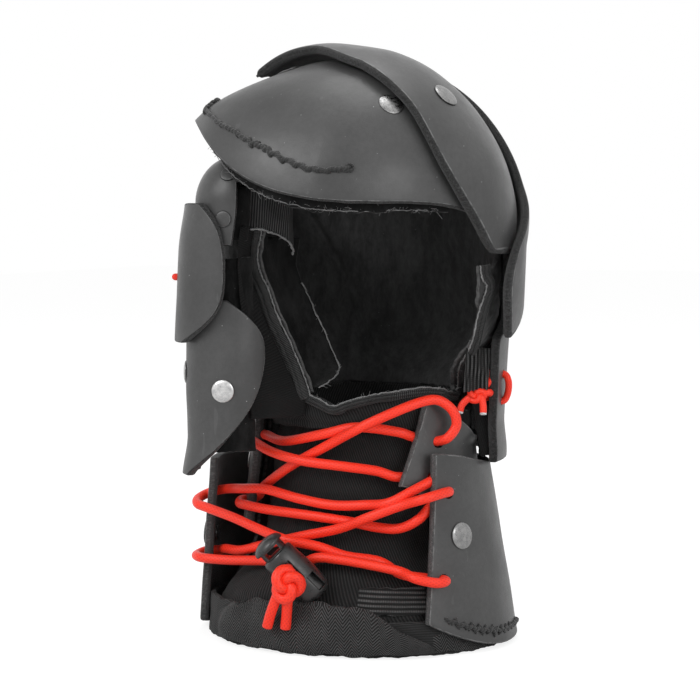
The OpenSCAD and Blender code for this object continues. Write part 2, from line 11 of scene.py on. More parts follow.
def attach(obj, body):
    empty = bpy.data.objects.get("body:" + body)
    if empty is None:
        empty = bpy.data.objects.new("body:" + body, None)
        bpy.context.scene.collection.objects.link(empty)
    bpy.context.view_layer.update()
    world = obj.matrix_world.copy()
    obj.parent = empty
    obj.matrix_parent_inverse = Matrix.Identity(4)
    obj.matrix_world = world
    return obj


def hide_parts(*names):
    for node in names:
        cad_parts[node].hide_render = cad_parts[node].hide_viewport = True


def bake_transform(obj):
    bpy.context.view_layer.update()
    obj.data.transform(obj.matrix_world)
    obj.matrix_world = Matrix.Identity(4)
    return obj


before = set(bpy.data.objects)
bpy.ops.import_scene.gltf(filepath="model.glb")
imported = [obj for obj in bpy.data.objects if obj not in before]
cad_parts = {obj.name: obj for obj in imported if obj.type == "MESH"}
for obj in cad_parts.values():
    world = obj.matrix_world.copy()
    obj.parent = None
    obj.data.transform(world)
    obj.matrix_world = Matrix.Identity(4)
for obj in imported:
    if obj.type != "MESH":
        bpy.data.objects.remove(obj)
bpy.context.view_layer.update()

# ------------ camera
AIM = np.array([-4.0, 0.0, 141.0])
AWAY = 1000.0
AZIMUTH, ELEVATION = math.radians(20), math.radians(4)
FOCAL, SENSOR = 102.86, 36
BACK = np.array([math.sin(AZIMUTH) * math.cos(ELEVATION), -math.cos(AZIMUTH) * math.cos(ELEVATION),
                 math.sin(ELEVATION)])
SIDE = np.array([math.cos(AZIMUTH), math.sin(AZIMUTH), 0.0])
UPWARD = np.cross(BACK, SIDE)


def put_in_scene(name, data, at=(0, 0, 0), facing=None):
    """Adds an object; where facing is given, its -Z axis points that way."""
    obj = bpy.data.objects.new(name, data)
    obj.location = at
    if facing is not None:
        obj.rotation_mode = "QUATERNION"
        obj.rotation_quaternion = Vector(facing).to_track_quat("-Z", "Y")
    bpy.context.collection.objects.link(obj)
    return obj


camera = put_in_scene("camera", bpy.data.cameras.new("camera"), (AIM + AWAY * BACK) / 1000, -BACK)
camera.data.lens, camera.data.sensor_width = FOCAL, SENSOR
bpy.context.scene.camera = camera

# ------------ sizes shared with the part's source
PLATE_T, SLIDE_GAP, BACKING_GAP, LINING_T, HEM_T = 4.5, 1.9, 1.5, 2.2, 2.5
LAME_STEP, BACKING = PLATE_T + SLIDE_GAP, PLATE_T + BACKING_GAP
LACE_D, TIE_D = 4.8, 3.4
RIVET_D, RIVET_SHANK_R, RIVET_HOLE_R = 13, 2.1, 2.2
TONGUE_DROP = LACE_D + 1.2
CUFF_W, CUFF_TOP_W, CUFF_D, CUFF_TOP_D = 163, 140, 138, 128
CUFF_LIFT, CUFF_H, CUFF_CONE, CUFF_LEAN, HEM_H = 1.5, 87, 93, -4.5, 18
WRIST_LOW_W, WRIST_W, WRIST_LOW_D, WRIST_D = 124, 108, 100, 90
WRIST_X, WRIST_LOW, WRIST_TOP, SLEEVE_DEPTH = 3, 53, 119, 8
KNUCKLE_Z, HAND_LEN, HAND_LEAN, TILT = 212, 124, -16, 12
HAND_LOW_W, KNUCKLE_W, HAND_LOW_R, KNUCKLE_R = 77, 82.5, 76, 84
OVAL, OUTER_OVAL, SWELL, TIP_BULGE = 2.25, 1.75, 4, 22
THUMB_LOW, THUMB_TOP, THUMB_CAP, THUMB_R, THUMB_TIP_R = 83, 237, 22, 23, 20
THUMB_X, THUMB_Y, GUARD_GAP = -47, -47, 1.1
GLOVE_R, PALM_DEPTH, BACK_DEPTH = 46.5, 37, 41
CUFF_FROM, CUFF_TO = -47, 204
TIP_FROM, TIP_TO, FINGER_TURN = 20, 160, 138
# rivet spots and cord holes: station and angle on the plate
RIVET_SPOTS = {
    "cuff": [(55.7, -27), (48, 193), (25, 60), (25, 120)],
    "wrist": [(85, 188), (79, 60), (79, 120)],
    "hand": [(-60, 70), (-60, 110), (-84, 45), (-84, 135)],
    "knuckle": [(46, 62), (46, 100), (7, 78), (7, 108)],
    "finger": [(104, 55), (70, 98), (70, 122)],
    "fingertip": [(127, 68), (108, 122)],
    "thumb_base": [(125, 280), (132.5, 200)],
    "thumb_tip": [(206.5, 275), (228, 277)]}
CUFF_LACE = [(76.5, -31), (36, -38.5), (68.5, 196.5), (39, 196.5)]
WRIST_LACE = [(99.5, -33), (83, -38), (99, 202), (66, 202)]
HAND_TIE = [(-76, 5), (-92, 5)]
THUMB_TIE = (178.5, 200)


def mix(a, b, k):
    return a + (b - a) * k


def clamp01(k):
    return np.clip(k, 0, 1)


def smooth(k):
    c = clamp01(k)
    return c * c * (3 - 2 * c)


def power(v, p):
    return np.sign(v) * np.abs(v) ** p


def sin(t):
    return np.sin(np.radians(t))


def cos(t):
    return np.cos(np.radians(t))


def xyz(x, y, z):
    return np.stack(np.broadcast_arrays(x, y, z), -1).astype(float)


def even(value):
    """A bound that is the same everywhere."""
    return lambda h: value + 0 * h


# ------------ surfaces: station s, angle t, offset outwards
def cuff_pt(s, t, off):
    k = s / CUFF_CONE
    return xyz(CUFF_LEAN * k + (mix(CUFF_W, CUFF_TOP_W, k) / 2 + off) * cos(t),
               (mix(CUFF_D, CUFF_TOP_D, k) / 2 + off) * sin(t), s)


def wrist_flare(s, t):
    turn = (np.asarray(t) + 180) % 360 - 180
    return 6 * smooth((s - 95) / 12) * smooth((turn + 40) / 40) * smooth((110 - turn) / 60)


def wrist_pt(s, t, off):
    k = (s - WRIST_LOW) / (WRIST_TOP - WRIST_LOW)
    return xyz(WRIST_X + (mix(WRIST_LOW_W, WRIST_W, k) / 2 + wrist_flare(s, t) + off) * cos(t),
               (mix(WRIST_LOW_D, WRIST_D, k) / 2 + off) * sin(t), s)


def sleeve_pt(s, t, off, drop=0):
    """The cuff's lining, which runs from inside the cuff plate to inside the wrist plate."""
    k = smooth(s / WRIST_LOW)[..., None] if np.ndim(s) else smooth(s / WRIST_LOW)
    return mix(cuff_pt(s, t, off - SLEEVE_DEPTH), wrist_pt(s, t, off - BACKING - drop), k)


def tongue_pt(s, t, off):
    return sleeve_pt(s, t, off, TONGUE_DROP)


def hand_share(z):
    """0 at the hand plate's lower end, 1 at the knuckles."""
    return 1 + np.minimum(z, 0) / HAND_LEN


def hand_r(z):
    return mix(HAND_LOW_R, KNUCKLE_R, smooth(hand_share(z)))


def hand_place(y, z, side, off):
    """The point over (y, z) of the hand's middle plane, on the thumb's side (-1) or the little finger's (1)."""
    low = np.minimum(z, 0)
    k = clamp01(hand_share(z))
    rho = np.where(z < 0, np.abs(y), np.hypot(y, z))
    e = clamp01(rho / (hand_r(low) + off))
    swell = np.where(side > 0, smooth(1 + low / 70), 0)
    n = mix(OVAL, OUTER_OVAL, swell)
    width = mix(HAND_LOW_W, KNUCKLE_W, smooth(hand_share(z))) + SWELL * swell + off
    u = side * width * (1 - e ** n) ** (1 / n)
    tilt = TILT * smooth(k)
    up = np.maximum(z, 0)
    return xyz(mix(1, 5, k) + u * cos(tilt) + up * sin(tilt), mix(0, HAND_LEAN, smooth(k)) + y,
               KNUCKLE_Z + low - u * sin(tilt) + up * cos(tilt))


def hand_pt(s, t, off, root=None):
    """Below the knuckles s is a height, above them an angle round the knuckle axis."""
    s, t, off = np.broadcast_arrays(np.asarray(s, float), t, off)
    e = power(sin(t), 2 / OVAL)
    side = np.where(cos(t) < 0, -1, 1)
    reach = hand_r(np.minimum(s, 0)) + off
    rim_y = np.where(s < 0, reach, reach * cos(s))
    rim_z = np.where(s < 0, s, reach * sin(s))
    foot_y, foot_z = np.zeros_like(s), np.minimum(s, 0)
    if root is not None:
        foot_y = np.where(side < 0, foot_y, root[0])
        foot_z = np.where(side < 0, foot_z, root[1])
    rest = 1 - np.abs(e)
    return hand_place(rim_y * e + foot_y * rest, rim_z * np.abs(e) + foot_z * rest, side, off)


def tip_pt(s, t, off):
    bulge = TIP_BULGE * smooth((np.asarray(s) - 100) / 40) * power(np.maximum(-cos(t), 0), 2 / OVAL)
    bulge = np.where(np.asarray(t) > 90, bulge, 0)
    return hand_pt(s, t, off) - bulge[..., None] * np.array([cos(TILT), 0, -sin(TILT)])


def thumb_pt(s, t, off):
    k = clamp01((s - THUMB_LOW) / (THUMB_TOP - THUMB_LOW))
    cap = clamp01((s - THUMB_TOP + THUMB_CAP) / THUMB_CAP)
    r = (mix(THUMB_R, THUMB_TIP_R, smooth(k * 1.6 - 0.5)) + 3 * smooth(1 - k * 8))
    r = r * np.sqrt(np.maximum(0.04, 1 - cap ** 2)) + off
    return xyz(THUMB_X + 2.5 * smooth((s - 190) / 25) + r * cos(t),
               THUMB_Y + 2 * smooth(1 - k * 3) + r * sin(t), s)


def glove_pt(s, t, off):
    """The glove's lining: round at the wrist, flatter in the palm."""
    s, t, off = np.broadcast_arrays(np.asarray(s, float), t, off)
    p = hand_pt(s, t, off - LAME_STEP - BACKING)
    middle = mix(0, HAND_LEAN, smooth(hand_share(s)))
    front = sin(t) < 0
    palm = xyz(p[..., 0], np.where(front, middle + (p[..., 1] - middle) * 0.5, p[..., 1]), p[..., 2])
    depth = np.where(front, PALM_DEPTH, BACK_DEPTH)
    low = xyz(WRIST_X + (GLOVE_R + off) * cos(t), (depth + off) * sin(t), KNUCKLE_Z + s)
    return mix(low, palm, smooth((KNUCKLE_Z + s - 121) / 40)[..., None])


def hand_face(s, t, o):
    s = np.asarray(s, float)
    return hand_pt(s, t, o - LAME_STEP + (1.5 + 4.5 * sin(t) ** 2) * smooth((-s - 102) / 20))


def knuckle_face(s, t, o):
    s = np.asarray(s, float)
    k = clamp01((s + 52) / 172)
    root = (mix(24, -6, k), -52 + 32 * (1 - k) ** 2)
    return hand_pt(s, t, o + 0.8 * smooth(-s / 20) * smooth(np.asarray(t) / 30), root)


def finger_face(s, t, o):
    s, t = np.asarray(s, float), np.asarray(t, float)
    root = (mix(10, -22, clamp01((s - 30) / 150)), -6)
    return hand_pt(s, t, o - LAME_STEP + 2.5 * smooth((t - 92) / 30) * smooth((s - 70) / 25), root)


def tip_face(s, t, o):
    return tip_pt(s, t, o - 2 * LAME_STEP)


def guard_face(s, t, o):
    return thumb_pt(s, t, o + PLATE_T + GUARD_GAP)


def behind(face, depth):
    """The surface that lies depth inside another one."""
    return lambda s, t, o: face(s, t, o - depth)


# ------------ the plates' edges
def cuff_bottom(h):
    return CUFF_LIFT + 14 * clamp01(1 - h / 0.16) ** 2 + 6 * clamp01((h - 0.94) / 0.06) ** 2


def cuff_top(h):
    return CUFF_H + 8 * smooth(1 - h / 0.2)


def wrist_bottom(h):
    return WRIST_LOW + 26 * smooth(1 - h / 0.16)


def wrist_tabs(h):
    return WRIST_TOP - 18 * smooth(np.minimum(h, 1 - h) / 0.16)


def hand_bottom(h):
    return -HAND_LEN + 12 * smooth((h - 0.6) / 0.3)


def knuckle_front(h):
    return 60 + 60 * smooth((0.25 - h) / 0.2)


def finger_front(h):
    """The corner towards the little finger is drawn back by up to 11 degrees over its first 40."""
    t = FINGER_TURN * h
    return 105 + 0.62 * np.maximum(0, 110 - t) - 10 * smooth((100 - t) / 45) - 11 * clamp01(1 - t / 40) ** 1.4


def tip_front(t):
    t = np.asarray(t, float)
    return 177 - np.where(t > 94, 0.0125, 0.0039) * (t - 94) ** 2 - 5 * clamp01((t - 152) / 8) ** 2


def thumb_base_edge(v):
    low = np.minimum(v, 0.72) / 0.72
    return np.where(v < 0.72, 226 + 110 * (1 - (1 - low) ** 2), 336 - 52 * ((v - 0.72) / 0.28) ** 2)


def guard_edge(v):
    return 284 - np.where(v < 0.5, 54, 38) * np.abs(2 * v - 1) ** 3


# ------------ materials
def node(tree, kind, sockets=None, **props):
    """A shader node; a socket's value is a number, a colour or the output that is linked to it."""
    n = tree.nodes.new("ShaderNode" + kind)
    for key, value in props.items():
        setattr(n, key, value)
    for key, value in (sockets or {}).items():
        if isinstance(value, bpy.types.NodeSocket):
            tree.links.new(value, n.inputs[key])
        else:
            n.inputs[key].default_value = value
    return n


def grey(v, warm=0.0):
    return (v * (1 + warm), v, v * (1 - warm), 1)


class Look:
    """A principled material and the few nodes that its pattern needs."""

    def __init__(self, name, **sockets):
        self.material = bpy.data.materials.new(name)
        self.material.use_nodes = True
        self.tree = self.material.node_tree
        self.shader = self.tree.nodes["Principled BSDF"]
        for key, value in sockets.items():
            self.shader.inputs[key.replace("_", " ")].default_value = value
        self.place = node(self.tree, "TexCoord").outputs["Object"]
        flat = node(self.tree, "UVMap", uv_map="flat").outputs[0]
        self.across, self.along = node(self.tree, "SeparateXYZ", {"Vector": flat}).outputs[:2]

    def noise(self, size, detail=3, rough=0.5, stretch=None):
        """Noise with patches about size millimetres wide."""
        at = self.place
        if stretch:
            at = node(self.tree, "Mapping", {"Vector": at, "Scale": stretch}).outputs[0]
        return node(self.tree, "TexNoise", {"Vector": at, "Scale": 1000 / size, "Detail": detail,
                                            "Roughness": rough}).outputs[0]

    def dots(self, apart):
        """Distance to scattered points about apart millimetres from each other, 0 at each."""
        return node(self.tree, "TexVoronoi", {"Vector": self.place, "Scale": 1000 / apart}).outputs["Distance"]

    def maths(self, kind, a, b):
        return node(self.tree, "Math", {0: a, 1: b}, operation=kind).outputs[0]

    def times(self, first, *others):
        for other in others:
            first = self.maths("MULTIPLY", first, other)
        return first

    def span(self, value, low, high, to_low=0.0, to_high=1.0):
        """A smooth step from to_low, where the value is low, to to_high, where it is high."""
        n = node(self.tree, "MapRange", {"Value": value, "From Min": low, "From Max": high,
                                         "To Min": to_low, "To Max": to_high})
        n.interpolation_type = "SMOOTHSTEP"
        return n.outputs[0]

    def patches(self, low, high, size, detail=3, rough=0.5, stretch=None, to=(0.0, 1.0)):
        """Noise with a smooth step between low and high."""
        return self.span(self.noise(size, detail, rough, stretch), low, high, *to)

    def wave(self, a, b, turn_a, turn_b):
        """A sine of a and b, with turn_a and turn_b turns to each millimetre of theirs."""
        total = self.maths("ADD", self.times(a, turn_a * math.tau), self.times(b, turn_b * math.tau))
        return node(self.tree, "Math", {0: total}, operation="SINE").outputs[0]

    def blend(self, share, a, b):
        return node(self.tree, "Mix", {0: share, 6: a, 7: b}, data_type="RGBA").outputs[2]

    def tones(self, dark, light, *masks):
        """A grey between dark and light, by the product of the masks."""
        return self.blend(self.times(*masks), grey(dark), grey(light))

    def over(self, face, tone, *masks):
        """A grey laid over a colour, by the product of the masks."""
        return self.blend(self.times(*masks), face, grey(tone))

    def lint(self, face, tone, apart, size, clouds, share):
        """Pale specks over a colour, gathered in clouds."""
        return self.over(face, tone, self.span(self.dots(apart), *size), self.patches(*clouds), share)

    def mark(self, name):
        """A value that the mesh carries: edge is 1 at a cut edge, inside is 1 on a sheet's inner face."""
        return node(self.tree, "Attribute", attribute_name=name).outputs["Fac"]

    def colour(self, value):
        self.tree.links.new(value, self.shader.inputs["Base Color"])

    def rough(self, value):
        self.tree.links.new(value, self.shader.inputs["Roughness"])

    def relief(self, *layers):
        """Bumps, each (height, millimetres, strength)."""
        normal = None
        for height, depth, strength in layers:
            sockets = {"Height": height, "Distance": depth / 1000, "Strength": strength}
            if normal is not None:
                sockets["Normal"] = normal
            normal = node(self.tree, "Bump", sockets).outputs[0]
        self.tree.links.new(normal, self.shader.inputs["Normal"])


def leather_look(name="plate_leather", cut=(0.010, 0.055), highlight_and_edge=(0.12, 0.4)):
    """Moulded leather: cut is its cut edges' grey; the next pair is the span of the edge mark where the face turns
    into one.
    """
    look = Look(name, Specular_IOR_Level=0.42, Sheen_Weight=0.12, Sheen_Roughness=0.3)
    face = look.tones(0.040, 0.060, look.patches(0.3, 0.7, 38, 4, 0.6))
    grain = look.patches(0.35, 0.7, 2.2, 5, 0.7)
    face = look.over(face, 0.026, grain, 0.3)
    face = look.lint(face, 0.45, 4.6, (0.06, 0.025), (0.42, 0.55, 11, 1), 0.8)
    hairs = look.patches(0.715, 0.735, 5, 2, 0.5, (1, 1, 0.16))
    face = look.over(face, 0.2, hairs, 0.1)
    scuffs = look.patches(0.62, 0.74, 9, 6, 0.75, (1, 1, 0.6))
    face = look.over(face, 0.14, scuffs, 0.35)
    # painted highlight: a pale line along the rounding where the face turns into the cut edge, below the first value
    # of the edge span
    rim = look.span(look.mark("edge"), 0.01, highlight_and_edge[0])
    face = look.over(face, 0.28, rim, look.patches(0.38, 0.6, 4, 4, 0.7), 0.5)
    fibre = look.patches(0.35, 0.7, 0.8, 5, 0.7)
    layers = look.patches(0.35, 0.65, 2.4, 4, 0.6, (1, 1, 2.5))
    edge = look.span(look.mark("edge"), *highlight_and_edge)
    face = look.blend(edge, face, look.tones(*cut, fibre, layers))
    flesh = look.tones(0.02, 0.045, look.patches(0.3, 0.7, 0.7, 4, 0.7))
    look.colour(look.blend(look.span(look.mark("inside"), 0.4, 0.9), face, flesh))
    dull = look.maths("MAXIMUM", edge, look.mark("inside"))
    shine = look.patches(0.3, 0.7, 17, 4, 0.6, to=(0.33, 0.45))
    look.rough(look.maths("ADD", shine, look.times(dull, 0.4)))
    pores = look.span(look.dots(0.55), 0.1, 0.45)
    look.relief((look.noise(24, 3), 1.2, 0.35), (look.noise(0.8, 5, 0.65), 0.14, 0.4), (pores, 0.05, 0.35),
                (look.times(fibre, dull), 0.5, 0.8))
    return look.material


def suede_look(name, dark, light):
    look = Look(name, Roughness=0.95, Sheen_Weight=0.08, Sheen_Roughness=0.5, Specular_IOR_Level=0.1)
    nap = look.tones(dark, light, look.patches(0.3, 0.72, 7, 7, 0.8, (1, 1, 0.4)))
    nap = look.lint(nap, 0.2, 4.2, (0.075, 0.03), (0.48, 0.62, 8), 0.55)
    cut = look.span(look.mark("edge"), 0.55, 0.95)
    look.colour(look.over(nap, 0.13, cut, look.patches(0.35, 0.65, 1.5, 4, to=(0.15, 0.6))))
    look.relief((look.noise(5, 4), 0.8, 0.5), (look.noise(0.5, 4, 0.7), 0.3, 0.8))
    return look.material


def weave_look(name, dark, light, across, along, depth=0.8, sheen=0.06, flip=0.0):
    """Cloth with slanted ridges: across and along are turns to a millimetre of the flat cloth."""
    look = Look(name, Roughness=0.85, Sheen_Weight=sheen, Sheen_Roughness=0.5, Specular_IOR_Level=0.25)
    u = look.maths("PINGPONG", look.across, flip) if flip else look.across
    ridge = look.span(look.wave(u, look.along, across, along), -0.6, 0.9)
    yarn = look.span(look.wave(u, look.along, along * 2.1, -across * 2.1), -1, 1, 0.55, 1)
    height = look.times(ridge, yarn)
    shade = look.patches(0.3, 0.75, 14, 4, 0.6, to=(0.6, 1.15))
    face = look.tones(dark, light, height, shade)
    look.colour(look.lint(face, 0.25, 5, (0.06, 0.02), (0.5, 0.6, 9, 2), 0.4))
    look.relief((look.noise(6, 3), 0.8, 0.4), (height, 0.32 * depth, 0.9))
    return look.material


def braid_look():
    look = Look("red_cord", Roughness=0.42, Specular_IOR_Level=0.35, Sheen_Weight=0.05, Sheen_Roughness=0.4)
    left, right = (look.wave(look.across, look.along, 9.0, lean) for lean in (0.42, -0.42))
    height = look.span(look.maths("MAXIMUM", left, right), -0.4, 1)
    face = look.blend(height, (0.78, 0.022, 0.010, 1), (0.96, 0.038, 0.014, 1))
    look.colour(look.blend(look.times(look.patches(0.3, 0.7, 12), 0.2), face, (1.0, 0.06, 0.02, 1)))
    look.relief((height, 0.12, 0.5))
    return look.material


def steel_look(name, bright, rough, rim_shade):
    look = Look(name, Metallic=1.0, Roughness=rough)
    face = look.blend(look.patches(0.35, 0.68, 2.6, 5, 0.7), grey(bright * 0.72), grey(bright, 0.01))
    # painted shade: the head's rim and underside are darkened as the shade of the gap where the head sits on the plate
    look.colour(look.over(face, 0.03, look.span(look.mark("edge"), 0.4, 0.95), rim_shade))
    look.rough(look.patches(0.3, 0.7, 1.2, 4, to=(rough - 0.1, rough + 0.15)))
    look.relief((look.noise(2.2), 0.08, 0.35))
    return look.material


def plastic_look():
    look = Look("black_plastic", Specular_IOR_Level=0.5)
    face = look.tones(0.017, 0.03, look.patches(0.3, 0.7, 6, 4))
    look.colour(look.lint(face, 0.2, 1.9, (0.1, 0.04), (0.5, 0.6, 4, 2), 0.4))
    look.rough(look.patches(0.3, 0.7, 3, 4, to=(0.25, 0.42)))
    look.relief((look.noise(0.7), 0.03, 0.4))
    return look.material


def thread_look(name, dark, light):
    look = Look(name, Roughness=0.7, Sheen_Weight=0.2, Sheen_Roughness=0.5)
    twist = look.span(look.wave(look.across, look.along, 3.0, 0.9), -0.7, 0.8)
    look.colour(look.tones(dark, light, twist, look.patches(0.25, 0.75, 2, 4, to=(0.4, 1))))
    look.relief((twist, 0.15, 0.8))
    return look.material


LEATHER = leather_look()
CUT_LEATHER = leather_look("cuff_leather", (0.06, 0.17), (0.3, 0.8))
# leather-coloured rivets; on their rims the cut edge's dark grey is a painted shade of the gap round each head, with
# the painted highlight line just inside it
PAINTED = leather_look("rivet_painted")
SUEDE = suede_look("suede", 0.028, 0.062)
# painted shade: a darker copy of the suede for the linings that lie in the plates' shadow
SHADED_SUEDE = suede_look("shaded_suede", 0.003, 0.016)
TWILL = weave_look("twill", 0.003, 0.030, 0.75, 0.3)
# black cloth for the thumb's web, and also the sheet of painted shade at the side of the wrist
BLACK_CLOTH_AND_SHADE = weave_look("black_cloth_and_shade", 0.002, 0.009, 0.9, 0.2, 0.6, 0.02)
SEAM_CLOTH = weave_look("seam_cloth", 0.004, 0.085, 0.1, 1.6, 0.8, 0.1)
MESH_TAPE = weave_look("hem_weave", 0.006, 0.11, 0.8, 0.75, 1.3, flip=3.3)
BINDING = weave_look("hem_binding", 0.010, 0.045, 0.1, 1.1)
RIBBED = weave_look("ribbed_cloth", 0.004, 0.12, 0.86, 0.02, 1.3)
ELASTIC = weave_look("elastic_rib", 0.005, 0.10, 0.02, 0.42, 1.6)
GATHERED = weave_look("gathered_rib", 0.004, 0.11, 0.5, 0.03, 1.6)
BRAID = braid_look()
STEEL = steel_look("rivet_steel", 0.62, 0.33, 0.6)
DARK_STEEL = steel_look("rivet_old_steel", 0.3, 0.3, 0.97)
PLASTIC = plastic_look()
THREAD = thread_look("thread", 0.003, 0.014)
RAW = thread_look("raw_edge", 0.12, 0.3)
PALE = thread_look("cord_core", 0.45, 0.8)


# ------------ making pieces
def ripple(a, b, seed, near, far, waves=7):
    """Smooth unevenness, about -1 to 1, over arc lengths a and b, with waves near to far millimetres long."""
    rng = np.random.default_rng(seed)
    total = 0
    for _ in range(waves):
        turn = math.tau / rng.uniform(near, far)
        way = rng.uniform(0, math.tau)
        total = total + np.sin(turn * (a * math.cos(way) + b * math.sin(way)) + rng.uniform(0, math.tau))
    return total / math.sqrt(waves) / 1.4


class Shape:
    """Vertices, faces, flat coordinates and marks of one mesh, gathered from several parts."""

    def __init__(self):
        self.points, self.faces, self.flats, self.edge, self.inside = [], [], [], [], []
        self.count = 0

    def add(self, points, faces, flats, edge=None, inside=None):
        """A part: its points, its faces as point numbers, and the flat coordinates of the faces' corners."""
        points = np.asarray(points, float).reshape(-1, 3)
        n = len(points)
        self.points.append(points)
        self.edge.append(np.zeros(n) if edge is None else np.asarray(edge, float).ravel())
        self.inside.append(np.zeros(n) if inside is None else np.asarray(inside, float).ravel())
        for face, flat in zip(faces, flats):
            self.faces.append([self.count + i for i in face])
            self.flats.append(flat)
        self.count += n
        return self

    def sheet(self, place, s, t, grid, thick, r=0.9, shift=None, closed=False, wander=0.12, seed=1, deep=None):
        """A curved sheet of even thickness, its edges rounded r wide and deep (r where deep is None).

        s and t are its two bounds each way, numbers or functions of the share of the other way. grid is the
        rows along s and the columns along t. shift lifts the surface, wander makes the edges uneven."""
        s0, s1, t0, t1 = (bound if callable(bound) else even(bound) for bound in (*s, *t))
        rows, cols = grid

        def at(v, h, off):
            return place(mix(s0(h), s1(h), v), mix(t0(v), t1(v), h), off)

        def lengths(fixed, along_s):
            a, b = np.meshgrid(fixed, np.linspace(0, 1, 33), indexing="ij")
            p = at(b, a, 0 * a) if along_s else at(a, b, 0 * a)
            return np.linalg.norm(np.diff(p, axis=1), axis=2).sum(1)

        # the rounding's rows: band is how far in from the edge they lie and rise how near to it, as shares of r
        bend = np.radians([0, 22.5, 45, 67.5])
        band, rise = 1 - np.cos(bend), np.cos(bend)
        inner_v, inner_h = np.linspace(0, 1, rows + 1), np.linspace(0, 1, cols + 1)
        g_v = np.concatenate([rise, 0 * inner_v, rise[::-1]])
        g_h = 0 * inner_h if closed else np.concatenate([rise, 0 * inner_h, rise[::-1]])
        base_h = inner_h if closed else np.concatenate([0 * bend, inner_h, 0 * bend + 1])
        long_v = np.maximum(lengths(base_h, True), 4 * r)
        base_v = np.concatenate([0 * bend, inner_v, 0 * bend + 1])
        long_h = np.maximum(lengths(base_v, False), 4 * r)

        def shares(long, inner):
            b = np.minimum(r / long, 0.24)[:, None]
            return np.concatenate([b * band, mix(b, 1 - b, inner), 1 - (b * band)[:, ::-1]], 1)

        v = shares(long_v, inner_v).T
        h = np.tile(inner_h, (len(base_v), 1)) if closed else shares(long_h, inner_h)
        gv, gh = np.meshgrid(g_v, g_h, indexing="ij")
        g = np.minimum(1, np.hypot(gv, gh))
        u_mm, v_mm = h * long_h.mean(), v * long_v.mean()
        stray = ripple(u_mm, v_mm, seed, 2.5, 30) * wander
        v = v + np.where(gv > 0, stray / long_v.mean(), 0)
        if not closed:
            h = h + np.where(gh > 0, stray / long_h.mean(), 0)
        lift = shift(u_mm, v_mm, v, h) if shift else 0
        fall = (deep or r) * (1 - np.sqrt(np.maximum(0, 1 - g ** 2)))
        self.flat_size = (long_h.mean() / 1000, long_v.mean() / 1000)
        return self.shell(at(v, h, lift - fall), at(v, h, lift - thick + fall), u_mm, v_mm, thick, g, closed)

    def shell(self, outer, inner, u_mm, v_mm, thick, mark, closed):
        """Two grids of points, faced outwards and inwards and joined along their rim; closed joins their ends."""
        m, n = u_mm.shape
        w = n - 1 if closed else n
        points = np.concatenate([grid[:, :w].reshape(-1, 3) for grid in (outer, inner)])
        mark = mark[:, :w].ravel()
        faces, flats = [], []

        def corner(i, j, side):
            return (side * m + i) * w + j % w

        def flat(i, j, down=0.0):
            return (u_mm[i, j], v_mm[i, j] + down)

        for i in range(m - 1):
            for j in range(n - 1):
                quad = ((i, j), (i, j + 1), (i + 1, j + 1), (i + 1, j))
                for side, corners in enumerate((quad, quad[::-1])):
                    faces.append([corner(a, b, side) for a, b in corners])
                    flats.append([flat(a, b) for a, b in corners])
        rim = [[(0, j) for j in range(n)], [(m - 1, j) for j in range(n - 1, -1, -1)]]
        if not closed:
            rim += [[(i, n - 1) for i in range(m)], [(i, 0) for i in range(m - 1, -1, -1)]]
        for side in rim:
            for p, q in zip(side, side[1:]):
                faces.append([corner(*q, 0), corner(*p, 0), corner(*p, 1), corner(*q, 1)])
                flats.append([flat(*q), flat(*p), flat(*p, thick), flat(*q, thick)])
        return self.add(points, faces, flats, np.concatenate([mark, mark]), np.repeat((0, 1), m * w))

    def join(self, other):
        """Takes over another shape's parts."""
        self.points += other.points
        self.faces += [[self.count + i for i in face] for face in other.faces]
        self.flats += other.flats
        self.edge += other.edge
        self.inside += other.inside
        self.count += other.count
        return self

    def tube(self, path, radius, sides=14, closed=False, round_ends=True):
        """A round cord along the points."""
        path = np.asarray(path, float)
        radius = np.broadcast_to(np.asarray(radius, float), len(path)).copy()
        if not closed and round_ends:
            first, last = unit(path[0] - path[1]), unit(path[-1] - path[-2])
            bend = np.radians([15, 40, 65, 88])
            head = [path[0] + first * radius[0] * math.sin(b) for b in bend][::-1]
            tail = [path[-1] + last * radius[-1] * math.sin(b) for b in bend]
            path = np.concatenate([head, path, tail])
            radius = np.concatenate([radius[0] * np.cos(bend)[::-1], radius, radius[-1] * np.cos(bend)])
        n = len(path)
        ahead = np.roll(path, -1, 0) - np.roll(path, 1, 0) if closed else np.gradient(path, axis=0)
        ahead = ahead / np.linalg.norm(ahead, axis=1)[:, None]
        side, a = first_side(ahead[0]), np.empty((n, 3))
        for i, d in enumerate(ahead):
            side = a[i] = unit(side - d * (side @ d))
        twist = 0.0
        if closed:
            # the frame's leftover twist is spread along the ring
            end = unit(a[-1] - ahead[0] * (a[-1] @ ahead[0]))
            twist = math.atan2(np.cross(a[0], end) @ ahead[0], a[0] @ end)
        b = np.cross(ahead, a)
        spin = (np.arange(sides) / sides * math.tau)[None, :] - twist * np.arange(n)[:, None] / n
        ring = path[:, None] + radius[:, None, None] * (a[:, None] * np.cos(spin)[..., None]
                                                        + b[:, None] * np.sin(spin)[..., None])
        step = np.linalg.norm(np.diff(path, axis=0, append=path[:1] if closed else path[-1:]), axis=1)
        run = np.concatenate([[0], np.cumsum(step)])
        faces, flats = [], []
        for i in range(n if closed else n - 1):
            k = (i + 1) % n
            for j in range(sides):
                m = (j + 1) % sides
                faces.append([i * sides + j, i * sides + m, k * sides + m, k * sides + j])
                x0, x1 = j / sides, (j + 1) / sides
                flats.append([(x0, run[i]), (x1, run[i]), (x1, run[i + 1]), (x0, run[i + 1])])
        if not closed:
            faces += [list(range(sides))[::-1], [(n - 1) * sides + j for j in range(sides)]]
            flats += [[(0, 0)] * sides, [(0, run[-1])] * sides]
        return self.add(ring, faces, flats)

